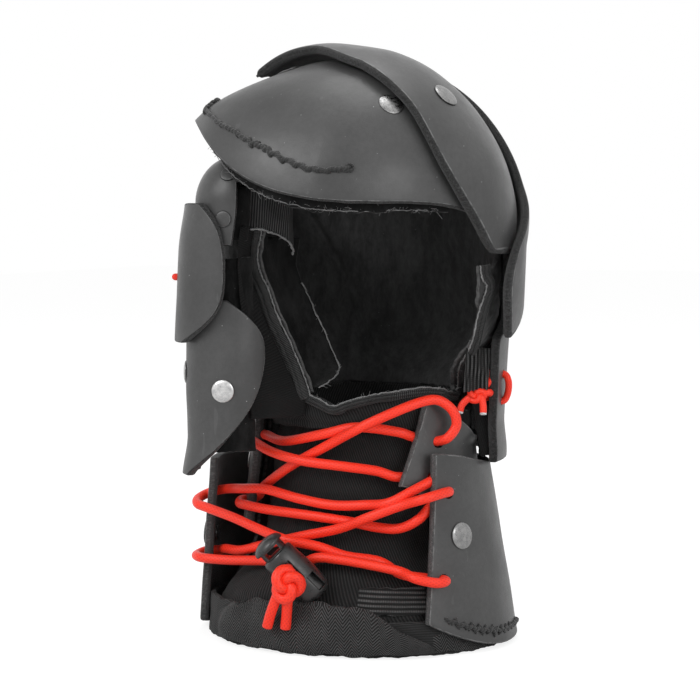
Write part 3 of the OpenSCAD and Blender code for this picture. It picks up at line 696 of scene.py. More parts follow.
    def lathe(self, profile, matrix, sides=48, edge=None):
        """A profile of (radius, height) turned about the matrix's Z axis; it starts and ends on the axis."""
        turn = np.arange(sides) / sides * math.tau
        points, marks, rows = [], [], []
        for k, (r, z) in enumerate(profile):
            ring = [(r * math.cos(w), r * math.sin(w), z) for w in turn] if r > 0 else [(0, 0, z)]
            rows.append(range(len(points), len(points) + len(ring)))
            points += ring
            marks += [edge[k] if edge else 0] * len(ring)
        faces = []
        for low, high in zip(rows, rows[1:]):
            for j in range(sides):
                m = (j + 1) % sides
                if len(low) == 1:
                    faces.append([low[0], high[j], high[m]])
                elif len(high) == 1:
                    faces.append([low[j], high[0], low[m]])
                else:
                    faces.append([low[j], high[j], high[m], low[m]])
        return self.add(moved(points, matrix), faces, [[points[i][:2] for i in face] for face in faces], marks)

    def block(self, low, high, matrix):
        """A box from one corner to the other, for cutting a slot."""
        points = moved([(x, y, z) for x in (low[0], high[0]) for y in (low[1], high[1]) for z in (low[2], high[2])],
                       matrix)
        faces = [[0, 1, 3, 2], [4, 6, 7, 5], [0, 4, 5, 1], [2, 3, 7, 6], [0, 2, 6, 4], [1, 5, 7, 3]]
        return self.add(points, faces, [[(points[i, 0], points[i, 2]) for i in face] for face in faces])

    def mesh(self, name, material):
        """The shape as a mesh in metres, its faces turned outwards."""
        me = bpy.data.meshes.new(name)
        me.from_pydata((np.concatenate(self.points) / 1000).tolist(), [], self.faces)
        me.materials.append(material)
        layer = me.uv_layers.new(name="flat")
        layer.data.foreach_set("uv", np.array([c for face in self.flats for c in face], float).ravel())
        for mark, values in (("edge", self.edge), ("inside", self.inside)):
            me.attributes.new(mark, "FLOAT", "POINT").data.foreach_set("value", np.concatenate(values))
        made = bmesh.new()
        made.from_mesh(me)
        bmesh.ops.recalc_face_normals(made, faces=made.faces)
        made.to_mesh(me)
        made.free()
        me.polygons.foreach_set("use_smooth", [True] * len(me.polygons))
        return me


def unit(v):
    v = np.asarray(v, float)
    return v / np.linalg.norm(v)


def first_side(d):
    """A direction across d."""
    return unit(np.cross(d, (0, 0, 1) if abs(d[2]) < 0.9 else (1, 0, 0)))


def moved(points, matrix):
    """Points given in a frame, in the scene's axes."""
    matrix = np.array(matrix)
    return np.asarray(points, float) @ matrix[:3, :3].T + matrix[:3, 3]


def flowing(points, per):
    """A smooth line through the points, with per steps from each to the next."""
    p = np.asarray(points, float)
    p = np.concatenate([2 * p[:1] - p[1:2], p, 2 * p[-1:] - p[-2:-1]])
    out = []
    for a, b, c, d in zip(p, p[1:], p[2:], p[3:]):
        for k in range(per):
            x = k / per
            out.append(0.5 * (2 * b + (c - a) * x + (2 * a - 5 * b + 4 * c - d) * x * x
                              + (3 * b - a - 3 * c + d) * x ** 3))
    return np.array(out + [p[-2]])


def piece(name, shape, material, body, nodes=(), cutters=None, sharp=None, bevel=0.0):
    """Puts a shape into the scene, carves its holes, and hangs it on its CAD body; given two bodies, it only bakes its
    place.
    """
    obj = put_in_scene(name, shape.mesh(name, material))
    if cutters:
        tool = put_in_scene("cutter", cutters.mesh("cutter", material))
        cut = obj.modifiers.new("holes", "BOOLEAN")
        cut.operation, cut.object, cut.solver = "DIFFERENCE", tool, "EXACT"
        if bevel:
            soft = obj.modifiers.new("soft edges", "BEVEL")
            soft.width, soft.segments, soft.limit_method = bevel / 1000, 2, "ANGLE"
            soft.angle_limit = math.radians(38)
        done = bpy.data.meshes.new_from_object(obj.evaluated_get(bpy.context.evaluated_depsgraph_get()))
        obj.modifiers.clear()
        obj.data = done
        obj.data.name = name
        bpy.data.objects.remove(tool)
        obj.data.polygons.foreach_set("use_smooth", [True] * len(obj.data.polygons))
    if sharp:
        obj.data.set_sharp_from_angle(angle=math.radians(sharp))
    if nodes:
        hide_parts(*nodes)
    if isinstance(body, str):
        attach(obj, body)
    else:
        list(body)
        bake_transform(obj)
    return obj


def set_on(place, s, t):
    """The frame at a point of a surface, Z along its outward normal."""
    p = place(s, t, 0.0)
    n = unit(np.cross(place(s, t + 1.0, 0.0) - place(s, t - 1.0, 0.0),
                      place(s + 1.0, t, 0.0) - place(s - 1.0, t, 0.0)))
    if n @ (place(s, t, 1.0) - p) < 0:
        n = -n
    x = first_side(n)
    m = np.eye(4)
    m[:3, 0], m[:3, 1], m[:3, 2], m[:3, 3] = x, np.cross(n, x), n, p
    return m


def holes(place, spots, r):
    """Cutters for round holes through a plate."""
    shape = Shape()
    for s, t in spots:
        shape.lathe([(0, -10), (r, -10), (r, 6), (0, 6)], set_on(place, s, t), 28, [1, 1, 1, 1])
    return shape


# ------------ leather plates and rivets
def plate(name, body, face, s, t, grid, seed, rivets_of, cords=(), cord_d=0.0, material=LEATHER, **edges):
    """A moulded plate between its bounds on a surface, with the holes of its rivets and cords."""
    shape = Shape().sheet(face, s, t, grid, PLATE_T, seed=seed, **edges,
                          shift=lambda a, b, v, h: 0.22 * ripple(a, b, seed, 25, 90))
    cutters = holes(face, RIVET_SPOTS.get(rivets_of, []), RIVET_HOLE_R)
    if cords:
        cutters.join(holes(face, cords, (cord_d + 1) / 2))
    piece(name + "_shell", shape, material, body, [name], cutters, 40)


def rivets(face, spots, d=RIVET_D, seat=0.6, under=1.2, dome=1.2):
    """Domed rivets: head, shank through the plate, and washer, between seat and under below the plate."""
    r, washer, low = d / 2, -PLATE_T - seat, -PLATE_T - under
    profile = [(0, dome), (r * 0.35, dome * 0.97), (r * 0.62, dome * 0.86), (r * 0.8, dome * 0.68),
               (r * 0.9, dome * 0.5), (r * 0.97, dome * 0.3), (r, dome * 0.12), (r, -0.02), (r * 0.94, -0.12),
               (RIVET_SHANK_R, -0.12), (RIVET_SHANK_R, washer), (d * 0.3, washer), (d * 0.32, washer - 0.1),
               (d * 0.32, low + 0.1), (d * 0.3, low), (1.2, low), (0.8, low + 0.4), (0, low + 0.4)]
    # the marks of the head's rim and underside, where the materials paint the shade of the gap under the head
    marks = [0, 0, 0, 0, 0.1, 0.6, 1, 1, 1, 1, 0, 0, 0, 0, 0, 0.5, 1, 1]
    shape = Shape()
    for s, t in spots:
        shape.lathe(profile, set_on(face, s, t), 48, marks)
    return shape


plate("cuff_plate", "cuff", cuff_pt, (cuff_bottom, cuff_top), (lambda v: mix(CUFF_FROM, -35, v), CUFF_TO),
      (44, 190), 11, "cuff", CUFF_LACE, LACE_D, CUT_LEATHER)
plate("wrist_plate", "cuff", wrist_pt, (wrist_bottom, wrist_tabs),
      (lambda v: mix(-56, -38, v), lambda v: 210 - 6 * v ** 3), (34, 160), 12, "wrist", WRIST_LACE, LACE_D,
      CUT_LEATHER)
plate("hand_plate", "hand", hand_face, (hand_bottom, 12), (lambda v: -1 + 29 * smooth((v - 0.5) / 0.22), 150),
      (70, 110), 13, "hand", HAND_TIE, TIE_D)
plate("knuckle_plate", "knuckles", knuckle_face, (lambda h: -52 * (1 - smooth(h / 0.3)), knuckle_front), (0, 150),
      (70, 120), 14, "knuckle", r=2.2, deep=1.5)
plate("finger_plate", "fingers", finger_face, (38, finger_front), (0, FINGER_TURN), (70, 130), 15, "finger",
      r=2.8, deep=1.7)
plate("fingertip_plate", "fingertips", tip_face,
      (lambda h: 94 + 26 * smooth((h - 0.75) / 0.25), lambda h: tip_front(mix(TIP_FROM, TIP_TO, h))),
      (TIP_FROM, TIP_TO), (64, 130), 16, "fingertip", r=1.4)
plate("thumb_base_plate", "thumb", thumb_pt, (THUMB_LOW, 168), (165, thumb_base_edge), (60, 60), 17, "thumb_base")
plate("thumb_guard_plate", "thumb", guard_face, (147.5, 214), (170, guard_edge), (48, 52), 18, None, [THUMB_TIE],
      TIE_D)
plate("thumb_tip_plate", "thumb_tip", thumb_pt, (194, THUMB_TOP - 0.5), (165, 292), (40, 56), 19, "thumb_tip")

for part, body, face, steel, form in (
        ("cuff", "cuff", cuff_pt, DARK_STEEL, {}),
        ("wrist", "cuff", wrist_pt, STEEL, {}),
        ("hand", "hand", hand_face, STEEL, {}),
        ("knuckle", "knuckles", knuckle_face, STEEL, {"under": 1.6}),
        ("finger", "fingers", finger_face, DARK_STEEL, {"under": 1.6}),
        ("fingertip", "fingertips", tip_face, DARK_STEEL, {"d": RIVET_D - 1, "dome": 0.8}),
        ("thumb_base", "thumb", thumb_pt, STEEL, {"d": RIVET_D - 2, "seat": 0.8}),
        ("thumb_tip", "thumb_tip", thumb_pt, PAINTED, {"d": RIVET_D - 5, "seat": 0.8, "dome": 0.5})):
    piece(part + "_rivet_heads", rivets(face, RIVET_SPOTS[part], **form), steel, body, [part + "_rivets"],
          sharp=40)


# ------------ linings
WHOLE = (0, 1)


def cloth(name, nodes, body, material, place, grid, seed, s=WHOLE, t=WHOLE, thick=LINING_T, folds=0.6,
          near=9, far=45, shift=None, wander=0.5, closed=False):
    """A sheet of cloth or suede, cut to the size that the surface under it has."""
    shift = shift or (lambda a, b, v, h: folds * ripple(a, b, seed, near, far) - 0.3)
    shape = Shape().sheet(place, s, t, grid, thick, min(0.7, thick * 0.4), shift, closed, wander, seed)
    made = piece(name, shape, material, body, nodes)
    long, wide = shape.flat_size
    min(long, wide) > 0.01
    return made


def along(path, k):
    """The point at the share k of a line."""
    f = clamp01(k) * (len(path) - 1)
    i = np.minimum(np.floor(f).astype(int), len(path) - 2)
    return mix(path[i], path[i + 1], (f - i)[..., None])


def between(low, high, bulge=0.0):
    """A surface from one line to another: s runs from low to high, t along both."""
    low, high = np.asarray(low, float), np.asarray(high, float)

    def place(s, t, o):
        s, t, o = np.broadcast_arrays(np.asarray(s, float), t, o)
        out = o + bulge * np.sin(np.pi * s)
        return mix(along(low, t), along(high, t), s[..., None]) + xyz(0.3 * out, -0.95 * out, 0 * out)

    return place


def strap(line, out, width):
    """A surface beside a line: s runs along it and t from 0 at the line to 1, width millimetres outwards."""
    side = np.cross(np.gradient(line, axis=0), out)
    side /= np.linalg.norm(side, axis=1)[:, None]
    if ((line - OPENING_AT) * side).sum() < 0:
        side = -side

    def place(s, t, o):
        s, t, o = np.broadcast_arrays(np.asarray(s, float), t, o)
        return along(line, s) + along(side, s) * (t * width)[..., None] + along(out, s) * o[..., None]

    return place


def raw_edge(name, line, body, seed, thick=0.42):
    """The pale fibres of a cut edge: an uneven thin line with short hairs."""
    rng = np.random.default_rng(seed)
    line = flowing(line, 6)
    line = line + rng.normal(0, 0.16, line.shape)
    shape = Shape().tube(line, thick * rng.uniform(0.55, 1.25, len(line)), 6, round_ends=False)
    for root in line[:-1:2]:
        hair = rng.normal(0, 1, 3)
        shape.tube([root, root + hair * 0.5, root + hair * 0.9 + rng.normal(0, 0.3, 3)], 0.09, 4, round_ends=False)
    piece(name, shape, RAW, body)


# lines of the palm's opening: station and angle on the glove
OPENING_AT = np.array([18, -40, 160])
LEFT_EDGE = [(-92, 253), (-79.3, 249.6), (-66.2, 248.8), (-55, 246.5), (-45.1, 243.6), (-40.5, 241), (-35.1, 238.2),
             (-29.1, 238.2), (-23.2, 239.6), (-17.5, 241), (8, 240)]
RIGHT_EDGE = [(-90, 5), (-86.9, 7), (-76.5, -10.4), (-69.3, -15.8), (-57.8, -20.9), (-44.2, -19.4), (-34, -16),
              (-24.6, -11.9), (-19.6, -16.1), (-13.5, -16.8)]
LIP = [(-89.5, -112), (-92.9, -100.1), (-95.5, -92.2), (-93.4, -85.2), (-91.4, -77.3), (-89.3, -66.4),
       (-88.4, -57.9), (-86.5, -40), (-87.3, -20.9), (-89.3, -11.8), (-90.7, 4.8)]
GLOVE_LOW, GLOVE_HIGH = -90, 8


def left_edge(v):
    return np.interp(mix(GLOVE_LOW, GLOVE_HIGH, v), *zip(*LEFT_EDGE))


def right_edge(v):
    return np.interp(mix(GLOVE_LOW, GLOVE_HIGH, v), *zip(*RIGHT_EDGE))


def lip_height(h):
    turn = (360 * h + 180) % 360 - 180
    return np.interp(turn, [-122] + [t for _, t in LIP] + [14], [-90.3] + [s for s, _ in LIP] + [-90.3])


def dist_to(a, b, line):
    """Distance of points (a, b) to a broken line, all in the same flat coordinates."""
    best = 1e9
    for (x0, y0), (x1, y1) in zip(line, line[1:]):
        dx, dy = x1 - x0, y1 - y0
        k = clamp01(((a - x0) * dx + (b - y0) * dy) / (dx * dx + dy * dy))
        best = np.minimum(best, np.hypot(a - x0 - k * dx, b - y0 - k * dy))
    return best


# the creases' depth, width, and points; TURN_MM is about the length of a degree there
PALM_CREASES = [(3.4, 3, [(-9.8, 133), (-28.9, 120), (-52.5, 106.6), (-72, 97.4), (-90, 84)]),
                (2.6, 3, [(-52.5, 106.6), (-70.5, 112.2), (-90, 119)]),
                (2.4, 4, [(-85, 150), (-60, 160), (-30, 175)])]
TURN_MM = 1.3


def glove_folds(a, b, v, h):
    """Creases of the palm's back wall, seen through the opening, over a gentle unevenness."""
    s, t = mix(GLOVE_LOW, GLOVE_HIGH, v), mix(right_edge(v), left_edge(v), h)
    crease = 0
    for depth, width, line in PALM_CREASES:
        away = dist_to(s, t * TURN_MM, [(height, turn * TURN_MM) for height, turn in line])
        crease = crease - depth * np.exp(-(away / width) ** 2)
    return (0.7 * ripple(a, b, 25, 14, 60) + 0.35 * ripple(a, b, 26, 4, 10) - 0.3
            + crease * smooth(np.minimum(v, 1 - v) * 9))


def tongue_folds(a, b, v, h):
    """The tongue bags out over the hem and wrinkles where the lacing pulls it in."""
    z = mix(2, 116, v)
    bag = np.interp(z, [2, 10, 18, 25, 32, 38, 45], [0, 2.5, 4.6, 5, 3, 1, 0]) * smooth(np.minimum(h, 1 - h) * 7)
    return bag + 0.7 * ripple(a, b, 22, 12, 60) + 0.25 * ripple(a, 2.6 * b, 23, 7, 16) - 0.5


def hem_fold(a, b, v, h):
    return (4.6 * np.sin(np.pi * clamp01(v)) ** 0.7 * smooth(np.minimum(h, 1 - h) * 8)
            + 1.1 * smooth(v * 4) * ripple(a, b, 24, 9, 34) - 1.2)


def wrist_folds(a, b, v, h):
    """Wrinkles round the wrist, with a ribbed stretch under the opening."""
    ribs = 0.5 * np.sin(b * 1.3) * smooth((h - 0.6) / 0.06) * smooth((0.72 - h) / 0.05)
    return 0.6 * ripple(a, 3 * b, 57, 9, 40) + ribs


def gathers(a, b, v, h):
    return 0.8 * np.sin(a * 2.6 + 1.1 * np.sin(b * 0.35)) + 0.3 * ripple(a, b, 64, 5, 15)


def rolled(a, b, v, h):
    """A padded band with two rows of stitching sunk into it."""
    rows = np.exp(-((h - 0.3) / 0.06) ** 2) + np.exp(-((h - 0.62) / 0.06) ** 2)
    return (2.4 * np.sin(np.pi * clamp01(h)) ** 0.6 - 0.9 * rows + 0.25 * ripple(a, b, 58, 3, 12)
            + 0.12 * np.sin(b * 3.1) * rows)


CUFF_SUEDE_FROM, CUFF_SUEDE_TO = -32, 188


def cuff_suede_top(h):
    """Higher behind the two tabs of the wrist plate."""
    turn = mix(CUFF_SUEDE_FROM, CUFF_SUEDE_TO, h)
    return 99 + 14 * smooth(1.6 - np.minimum(np.abs(turn), np.abs(180 - turn)) / 11)


cloth("cuff_suede", ["cuff_lining"], "cuff", SHADED_SUEDE, sleeve_pt, (40, 150), 21,
      (2, cuff_suede_top), (CUFF_SUEDE_FROM, CUFF_SUEDE_TO), folds=0.5)
cloth("twill_tongue", ["wrist_tongue"], "cuff", TWILL, tongue_pt, (90, 110), 22,
      (2, 116), (188.6, 327.4), shift=tongue_folds)
cloth("hem_binding", ["hem_tape"], "cuff", BINDING, behind(cuff_pt, 4.9), (12, 260), 23,
      (0, lambda h: HEM_H + 2 * sin(720 * h)), (0, 360), HEM_T, closed=True,
      shift=lambda a, b, v, h: 0.5 * smooth(3 * v) * ripple(a, b, 53, 12, 50))
# the mesh tape that is folded over the hem in front, angle and height of its top, and the elastic beside it
HEM_FOLD = [(222, 14), (231, 19), (240, 23), (262, 25), (282, 25.2), (292, 22.5), (303, 13), (316, 4)]
FOLD_FROM, FOLD_TO = 222, 316
cloth("hem_mesh_fold", [], "cuff", MESH_TAPE, behind(cuff_pt, 2.2), (30, 110), 24,
      (1.2, lambda h: np.interp(mix(FOLD_FROM, FOLD_TO, h), *zip(*HEM_FOLD))), (FOLD_FROM, FOLD_TO), 1.4,
      shift=hem_fold, wander=0.8)
cloth("hem_elastic", [], "cuff", ELASTIC, behind(tongue_pt, -5.0), (16, 40), 55,
      (19, 31), (286, 316), 1.6, 0.5, 8, 30)
cloth("cuff_back_tape", [], "cuff", MESH_TAPE, behind(cuff_pt, 4.2), (14, 60), 56,
      (1, lambda h: 12 + 3 * sin(400 * h)), (316, 350), 1.4, 0.5, 8, 30)

WRIST_BEND = ("cuff", "hand", (0, 0, 0.1045), (0, 0, 0.117))
cloth("wrist_band", ["palm_band"], WRIST_BEND, TWILL, glove_pt, (18, 240), 57,
      (-107, lip_height), (0, 360), closed=True, shift=wrist_folds)
cloth("glove_suede", ["hand_lining"], "hand", SUEDE, glove_pt, (110, 200), 25,
      (GLOVE_LOW, lambda h: GLOVE_HIGH - 22 * smooth((46 - 250 * h) / 34)), (right_edge, left_edge),
      shift=glove_folds)
cloth("finger_suede", ["finger_lining"], "fingers", SHADED_SUEDE, behind(hand_pt, LAME_STEP + BACKING), (16, 90), 26,
      (50, 77), (24, 150), folds=0.4)
cloth("fingertip_suede", ["fingertip_lining"], "fingertips", SHADED_SUEDE, behind(tip_face, BACKING), (50, 120), 27,
      (104, lambda h: tip_front(mix(26, 152, h)) + 3.5), (26, 152), folds=0.5,
      wander=1.0)
cloth("thumb_suede", ["thumb_lining"], "thumb", SHADED_SUEDE, behind(thumb_pt, BACKING), (60, 60), 28,
      (95, 188), (150, 330), folds=0.5)
cloth("thumb_tip_suede", ["thumb_tip_lining"], "thumb_tip", SHADED_SUEDE, behind(thumb_pt, BACKING), (24, 50), 29,
      (196, 222), (176, 320), folds=0.3)

# the rolled seams round the opening, each with its width and lift, and their pale raw edges
for side, stations, width, lift in (("left", LEFT_EDGE, 7.5, 2.2), ("right", RIGHT_EDGE, 5.5, 0.0),
                                    ("lower", LIP, 4.5, 0.0)):
    line = flowing([glove_pt(s, t, 0.6) for s, t in stations], 5)
    out = np.array([unit(n) for n in flowing([set_on(glove_pt, s, t)[:3, 2] for s, t in stations], 5)])
    cloth(side + "_rolled_seam", [], "hand", SEAM_CLOTH, strap(line + out * lift, out, width), (150, 22), 58,
          thick=1.4, shift=rolled, wander=0.3)
    raw_edge(side + "_raw_edge", line[::3] + out[::3] * 0.5, "hand", 59)

# black cloth from the thumb to the opening
WEB_OUTER = [(-33, -60, 111), (-34, -60, 118), (-33.5, -59.5, 133), (-35, -61, 148), (-37, -62.5, 168),
             (-38, -62.8, 184), (-38, -62.8, 193), (-37, -62, 203)]
WEB_INNER = [(-14, -39.5, 111), (-13, -36.5, 121), (-21, -35.5, 133), (-28, -38, 148), (-35, -43, 168),
             (-39, -44, 183), (-38, -45.5, 191), (-34, -48, 203)]
WEB_BEND = ("hand", "thumb", (-0.026, -0.044, 0.16), (-0.037, -0.060, 0.16))
cloth("thumb_web", ["thumb_gusset"], WEB_BEND, BLACK_CLOTH_AND_SHADE, between(WEB_INNER, WEB_OUTER, 1.5), (34, 90), 30,
      thick=1.6, near=6, far=26)
# the ribbed gusset over the thumb's hole
ARCH = [(-44.8, -54, 197), (-42.5, -54, 199.4), (-39.5, -55, 201.3), (-34.8, -53, 201.8), (-30, -51, 201.7),
        (-27.2, -48, 200.3), (-24.2, -44, 198.8), (-21.5, -39, 195.9), (-20.9, -34, 191.9), (-22.1, -31, 189.4)]
ARCH_TOP = [(-44.8, -54, 230), (-41.5, -54, 229), (-37.5, -54, 228), (-33, -51, 227), (-29, -48, 226),
            (-25, -44, 225), (-22, -40, 224), (-21, -36, 222), (-22, -32, 220), (-24, -29, 218)]
cloth("thumb_rib_gusset", [], "hand", RIBBED, between(ARCH, ARCH_TOP, 0.8), (40, 60), 60,
      thick=1.4, folds=0.4, near=6, far=20)
raw_edge("thumb_rib_edge", np.array(ARCH) + (0.2, -0.7, -0.2), "hand", 61, 0.55)
# the turned flap beside the thumb's hole
HOLE_EDGE = [(-27, -10, 197), (-29, -11, 184), (-25.5, -12, 175.1), (-21.3, -12, 167.7), (-17.7, -13, 160.4),
             (-13.1, -14, 152.6), (-7.5, -16, 142), (-2.8, -19, 134.8), (-2, -24, 130.8), (-3.5, -30, 128),
             (-7, -36, 125)]
HOLE_ROOT = [(-36, -38, 199), (-37, -40, 186), (-35, -40, 177.5), (-33, -39.5, 171), (-31, -38.5, 163),
             (-28.5, -37, 154), (-25, -35.8, 144), (-21.5, -34.8, 136), (-18.6, -34, 131), (-14.5, -34.5, 126.5),
             (-12, -36, 124.5)]
cloth("thumb_hole_flap", [], "hand", SHADED_SUEDE, between(HOLE_EDGE, HOLE_ROOT, -3.0), (30, 60), 62,
      thick=1.4, folds=0.7, near=8, far=30)
raw_edge("thumb_hole_edge", np.array(HOLE_EDGE[2:]) + (0.3, -0.7, 0), "hand", 63, 0.34)
# a black sheet at the side of the wrist, painted shade where the hand plate's inside lies in shadow, and the gathered
# elastic above it
SIDE_LOW = [(63.5, -1.5, 90.5), (68, 0, 90.5), (71.5, 2, 91.5)]
SIDE_HIGH = [(60, -1, 118), (65, 0, 118), (71, 2, 118)]
cloth("side_wrist_shade", [], "hand", BLACK_CLOTH_AND_SHADE, between(SIDE_LOW, SIDE_HIGH, 0.6), (24, 20), 65,
      thick=1.4)
GATHER_LOW = [(60, -16, 123), (63, -12, 123), (66.5, -9.5, 123.5), (70.5, -8, 124)]
GATHER_HIGH = [(62.5, -20, 145), (65.5, -15, 145), (68.5, -12, 144.5), (71.5, -9, 144)]
cloth("side_gather", [], "hand", GATHERED, between(GATHER_LOW, GATHER_HIGH, 0.6), (50, 40), 64,
      thick=1.6, shift=gathers)

# ------------ lacing
LOCK_AT, LOCK_TURN, LOCK_LEAN = np.array([-11, -61, 40.0]), 20, 135
HOLE_HALF = 2.45
# the lace's way: surface (0 cuff, 1 wrist, 2 tongue), station, angle and offset
LACE_STATIONS = [
    (2, 40.5, 244.5, 6.75), (2, 38.5, 227, 6.25), (2, 37.5, 215.5, 15.25), (0, 37.5, 209.5, 0.25),
    (0, 37.5, 204.5, 3.5), (0, 37.5, 200, 3.25), (0, 38.5, 196, -0.75), (0, 39, 195.5, -7),
    (0, 40.5, 201, -11), (2, 41.5, 211.5, 10.25), (2, 46.5, 228, 6.25), (2, 53, 252.5, 6),
    (2, 58, 273, 6.5), (2, 65, 289, 12.75), (2, 71, -57, 16.75), (2, 75, -49.5, 25.25),
    (0, 77, -35.5, 2.5), (0, 77, -30.5, -0.25), (0, 76, -31.5, -5.5), (2, 71, -40.5, 14),
    (2, 64, -48.5, 14.75), (2, 59, -56.5, 9), (2, 59, 292, 4.5), (2, 61, 279, 3), (2, 63, 256, 4),
    (2, 64, 230, 8.75), (1, 65, 217, 2.25), (1, 65, 209.5, 3.75), (1, 66, 204.5, 2), (1, 66, 202, -3.25),
    (2, 69, 206.5, 5.75), (2, 74, 217, 6.5), (2, 86, 241, 5.75), (2, 97, 264.5, 6.5), (2, 108, 286, 15),
    (2, 116, -56.5, 17.25), (1, 120, -43, 5), (1, 120, -35, 5.75), (1, 115, -29.5, 7.5), (1, 108, -28, 7),
    (1, 102, -31.5, 5), (1, 100, -33.5, -1.25), (1, 100, -37, -5), (2, 102, -45, 6.75),
    (2, 105, -56, 8.25), (2, 107, 282.5, 8), (2, 103, 263, 7), (2, 98, 235, 5.75), (1, 99, 209.5, -6),
    (1, 99, 203.5, -4), (1, 99, 201, 0.5), (1, 99, 204, 5), (1, 98, 210, 7), (1, 97, 218.5, 3.25),
    (2, 93, 235, 12.5), (2, 90, 253, 9.75), (2, 88, 275.5, 6.75), (2, 86, 293, 5.75), (2, 83, -56, 5.25),
    (1, 83, -43, -8), (1, 83, -37.5, -5.25), (1, 83, -37, 2), (1, 82, -42, 4.75), (2, 78, -51, 16.75),
    (2, 72, 298, 14.25), (2, 70, 288, 7.5), (2, 69, 270, 5.25), (2, 71, 249.5, 6), (2, 74, 228.5, 10.25),
    (2, 73, 214.5, 16.75), (0, 71, 201, -10), (0, 69.5, 196.5, -4.5), (0, 67.5, 195.5, 1.25),
    (0, 65.5, 200, 5), (0, 64, 205, 4.75), (0, 63, 209.5, 1), (2, 59.5, 219, 21.5), (2, 55.5, 231, 15),
    (2, 52, 249, 13.5), (2, 49, 263, 6.75), (2, 45, 277.5, 4.5), (2, 43, 294, 5), (2, 38, -56.5, 9.5),
    (0, 36, -42.5, -8), (0, 36, -39, -3.75), (0, 36, -39, 2.5), (0, 36, -44, 4.75), (0, 38, -50.5, 1.75),
    (2, 40, -58, 15.25), (2, 42, 291.5, 10.5), (2, 44, 276, 9), (2, 44, 264, 9), (2, 38, 255, 6.25)]
SURFACES = (cuff_pt, wrist_pt, tongue_pt)


def in_lock(strand, depth):
    """A point in one of the lock's two cord holes, strand -1 or 1, depth behind the lock's middle."""
    return (LOCK_AT + strand * HOLE_HALF * np.array([sin(45) * cos(LOCK_TURN), sin(45) * sin(LOCK_TURN), -cos(45)])
            + depth * np.array([-sin(LOCK_TURN), cos(LOCK_TURN), 0]))


lace_line = flowing([in_lock(-1, -11.5), in_lock(-1, 10)] + [SURFACES[k](s, t, off) for k, s, t, off in LACE_STATIONS]
                    + [in_lock(1, 10), in_lock(1, -11.5)], 7)
lace = piece("elastic_lace", Shape().tube(lace_line, LACE_D / 2, 20), BRAID, "cuff", ["lace"])


def trefoil(long, wide, swing, deep):
    """The closed line of an overhand knot about the origin."""
    w = np.linspace(0, 360, 72, endpoint=False)
    return np.stack([(long + swing * cos(3 * w)) * cos(2 * w), (wide + swing * cos(3 * w)) * sin(2 * w),
                     deep * sin(3 * w)], -1)


LOCK_TURNED = Matrix.Translation(Vector(LOCK_AT)) @ Matrix.Rotation(math.radians(LOCK_TURN), 4, "Z")
LACE_KNOT_AT, LACE_KNOT_R, LACE_TAIL_R = (-2, -4.5, 14), 2.6, 2.5
LACE_TAILS = ([(-12, -73, 34), (-13, -74, 31), (-15, -74, 26), (-17.5, -73, 20), (-19.5, -72, 14)],
              [(-8, -72, 34), (-8, -73, 31), (-9, -72.5, 26), (-10, -71, 20), (-11, -70, 13.5)])
# the knot hangs in front of the lock: right, up and near as the viewer sees them
right, up, near = (trefoil(4.0, 4.3, 2.3, 2.2) * (1, 1.1, 1) + LACE_KNOT_AT).T
knot = Shape().tube(moved(np.stack([right, -near, up], -1), LOCK_TURNED), LACE_KNOT_R, 20, closed=True)
for tail in LACE_TAILS:
    knot.tube(flowing(tail, 8), LACE_TAIL_R, 20, round_ends=False)
piece("overhand_knot", knot, BRAID, "cuff", ["lace_knot"])

# ------------ cord lock: Z of its frame is the button's way
LOCK_FRAME = LOCK_TURNED @ Matrix.Rotation(math.radians(LOCK_LEAN), 4, "Y")
barrel = Shape().lathe([(0, -11), (6.9, -11), (7.8, -10.6), (8.3, -9.6), (8.4, -7), (8.7, -3), (9, 2), (9, 8),
                        (8.8, 12), (8.2, 15), (7, 17), (5, 17.9), (0, 18)], LOCK_FRAME, 64)
# the barrel's bore, the slot in its side, and the slot for the two cords
hollow = Shape().lathe([(0, -13), (6.4, -13), (6.4, 15), (5.9, 15.6), (0, 15.6)], LOCK_FRAME, 48)
hollow.block((-7.2, -14, 6.5), (-3.2, -1, 15.5), LOCK_FRAME)
hollow.block((-3, -12, -5.45), (3, 12, 5.45), LOCK_FRAME)
piece("lock_shell", barrel, PLASTIC, "cuff", ["lock_barrel"], hollow, 35, 0.35)
button = Shape().lathe([(0, -20), (3, -19.8), (5.4, -19), (7.2, -17.9), (8, -16.6), (8.1, -15.9), (7.8, -15.3),
                        (6.32, -15.1), (6.32, 10.6), (5.9, 11), (0, 11)], LOCK_FRAME, 64)
# the slot under the button's head, the slot for the two cords, and the spring's seat
window = Shape().block((-3.9, -9, -14.6), (3.9, 9, -11.4), LOCK_FRAME)
window.block((-3, -12, -HOLE_HALF - 7.3), (3, 12, 5.5), LOCK_FRAME)
window.lathe([(0, 6.4), (4.6, 6.4), (4.6, 12.4), (0, 12.4)], LOCK_FRAME, 32)
piece("lock_plunger", button, PLASTIC, "button", ["lock_button"], window, 35, 0.3)
SPRING_R, SPRING_WIRE, SPRING_TURNS, SPRING_FOOT, SPRING_LEN = 3.8, 0.38, 5, 11.1, 4.3
coil = np.linspace(0, 1, 160)
coil = np.stack([SPRING_R * np.cos(coil * SPRING_TURNS * math.tau), SPRING_R * np.sin(coil * SPRING_TURNS * math.tau),
                 SPRING_FOOT + coil * SPRING_LEN], -1)
piece("coil_spring", Shape().tube(moved(coil, LOCK_FRAME), SPRING_WIRE, 10), STEEL, "cuff", ["lock_spring"])

# ------------ thin ties
TIE_KNOT, TIE_KNOT_R = np.array([64.5, -9.0, 121.5]), 1.5
TIE_TAILS = ([TIE_KNOT + (-1.5, -0.5, -0.5), (60.5, -10, 119.5), (57.8, -11, 116.5), (57, -11.5, 113.5)],
             [TIE_KNOT + (1.5, -0.5, -0.5), (67.3, -9.5, 120), (68.2, -10, 116.5), (68.4, -10.5, 113)])


def tie_at(hole, off):
    return hand_face(*HAND_TIE[hole], off)


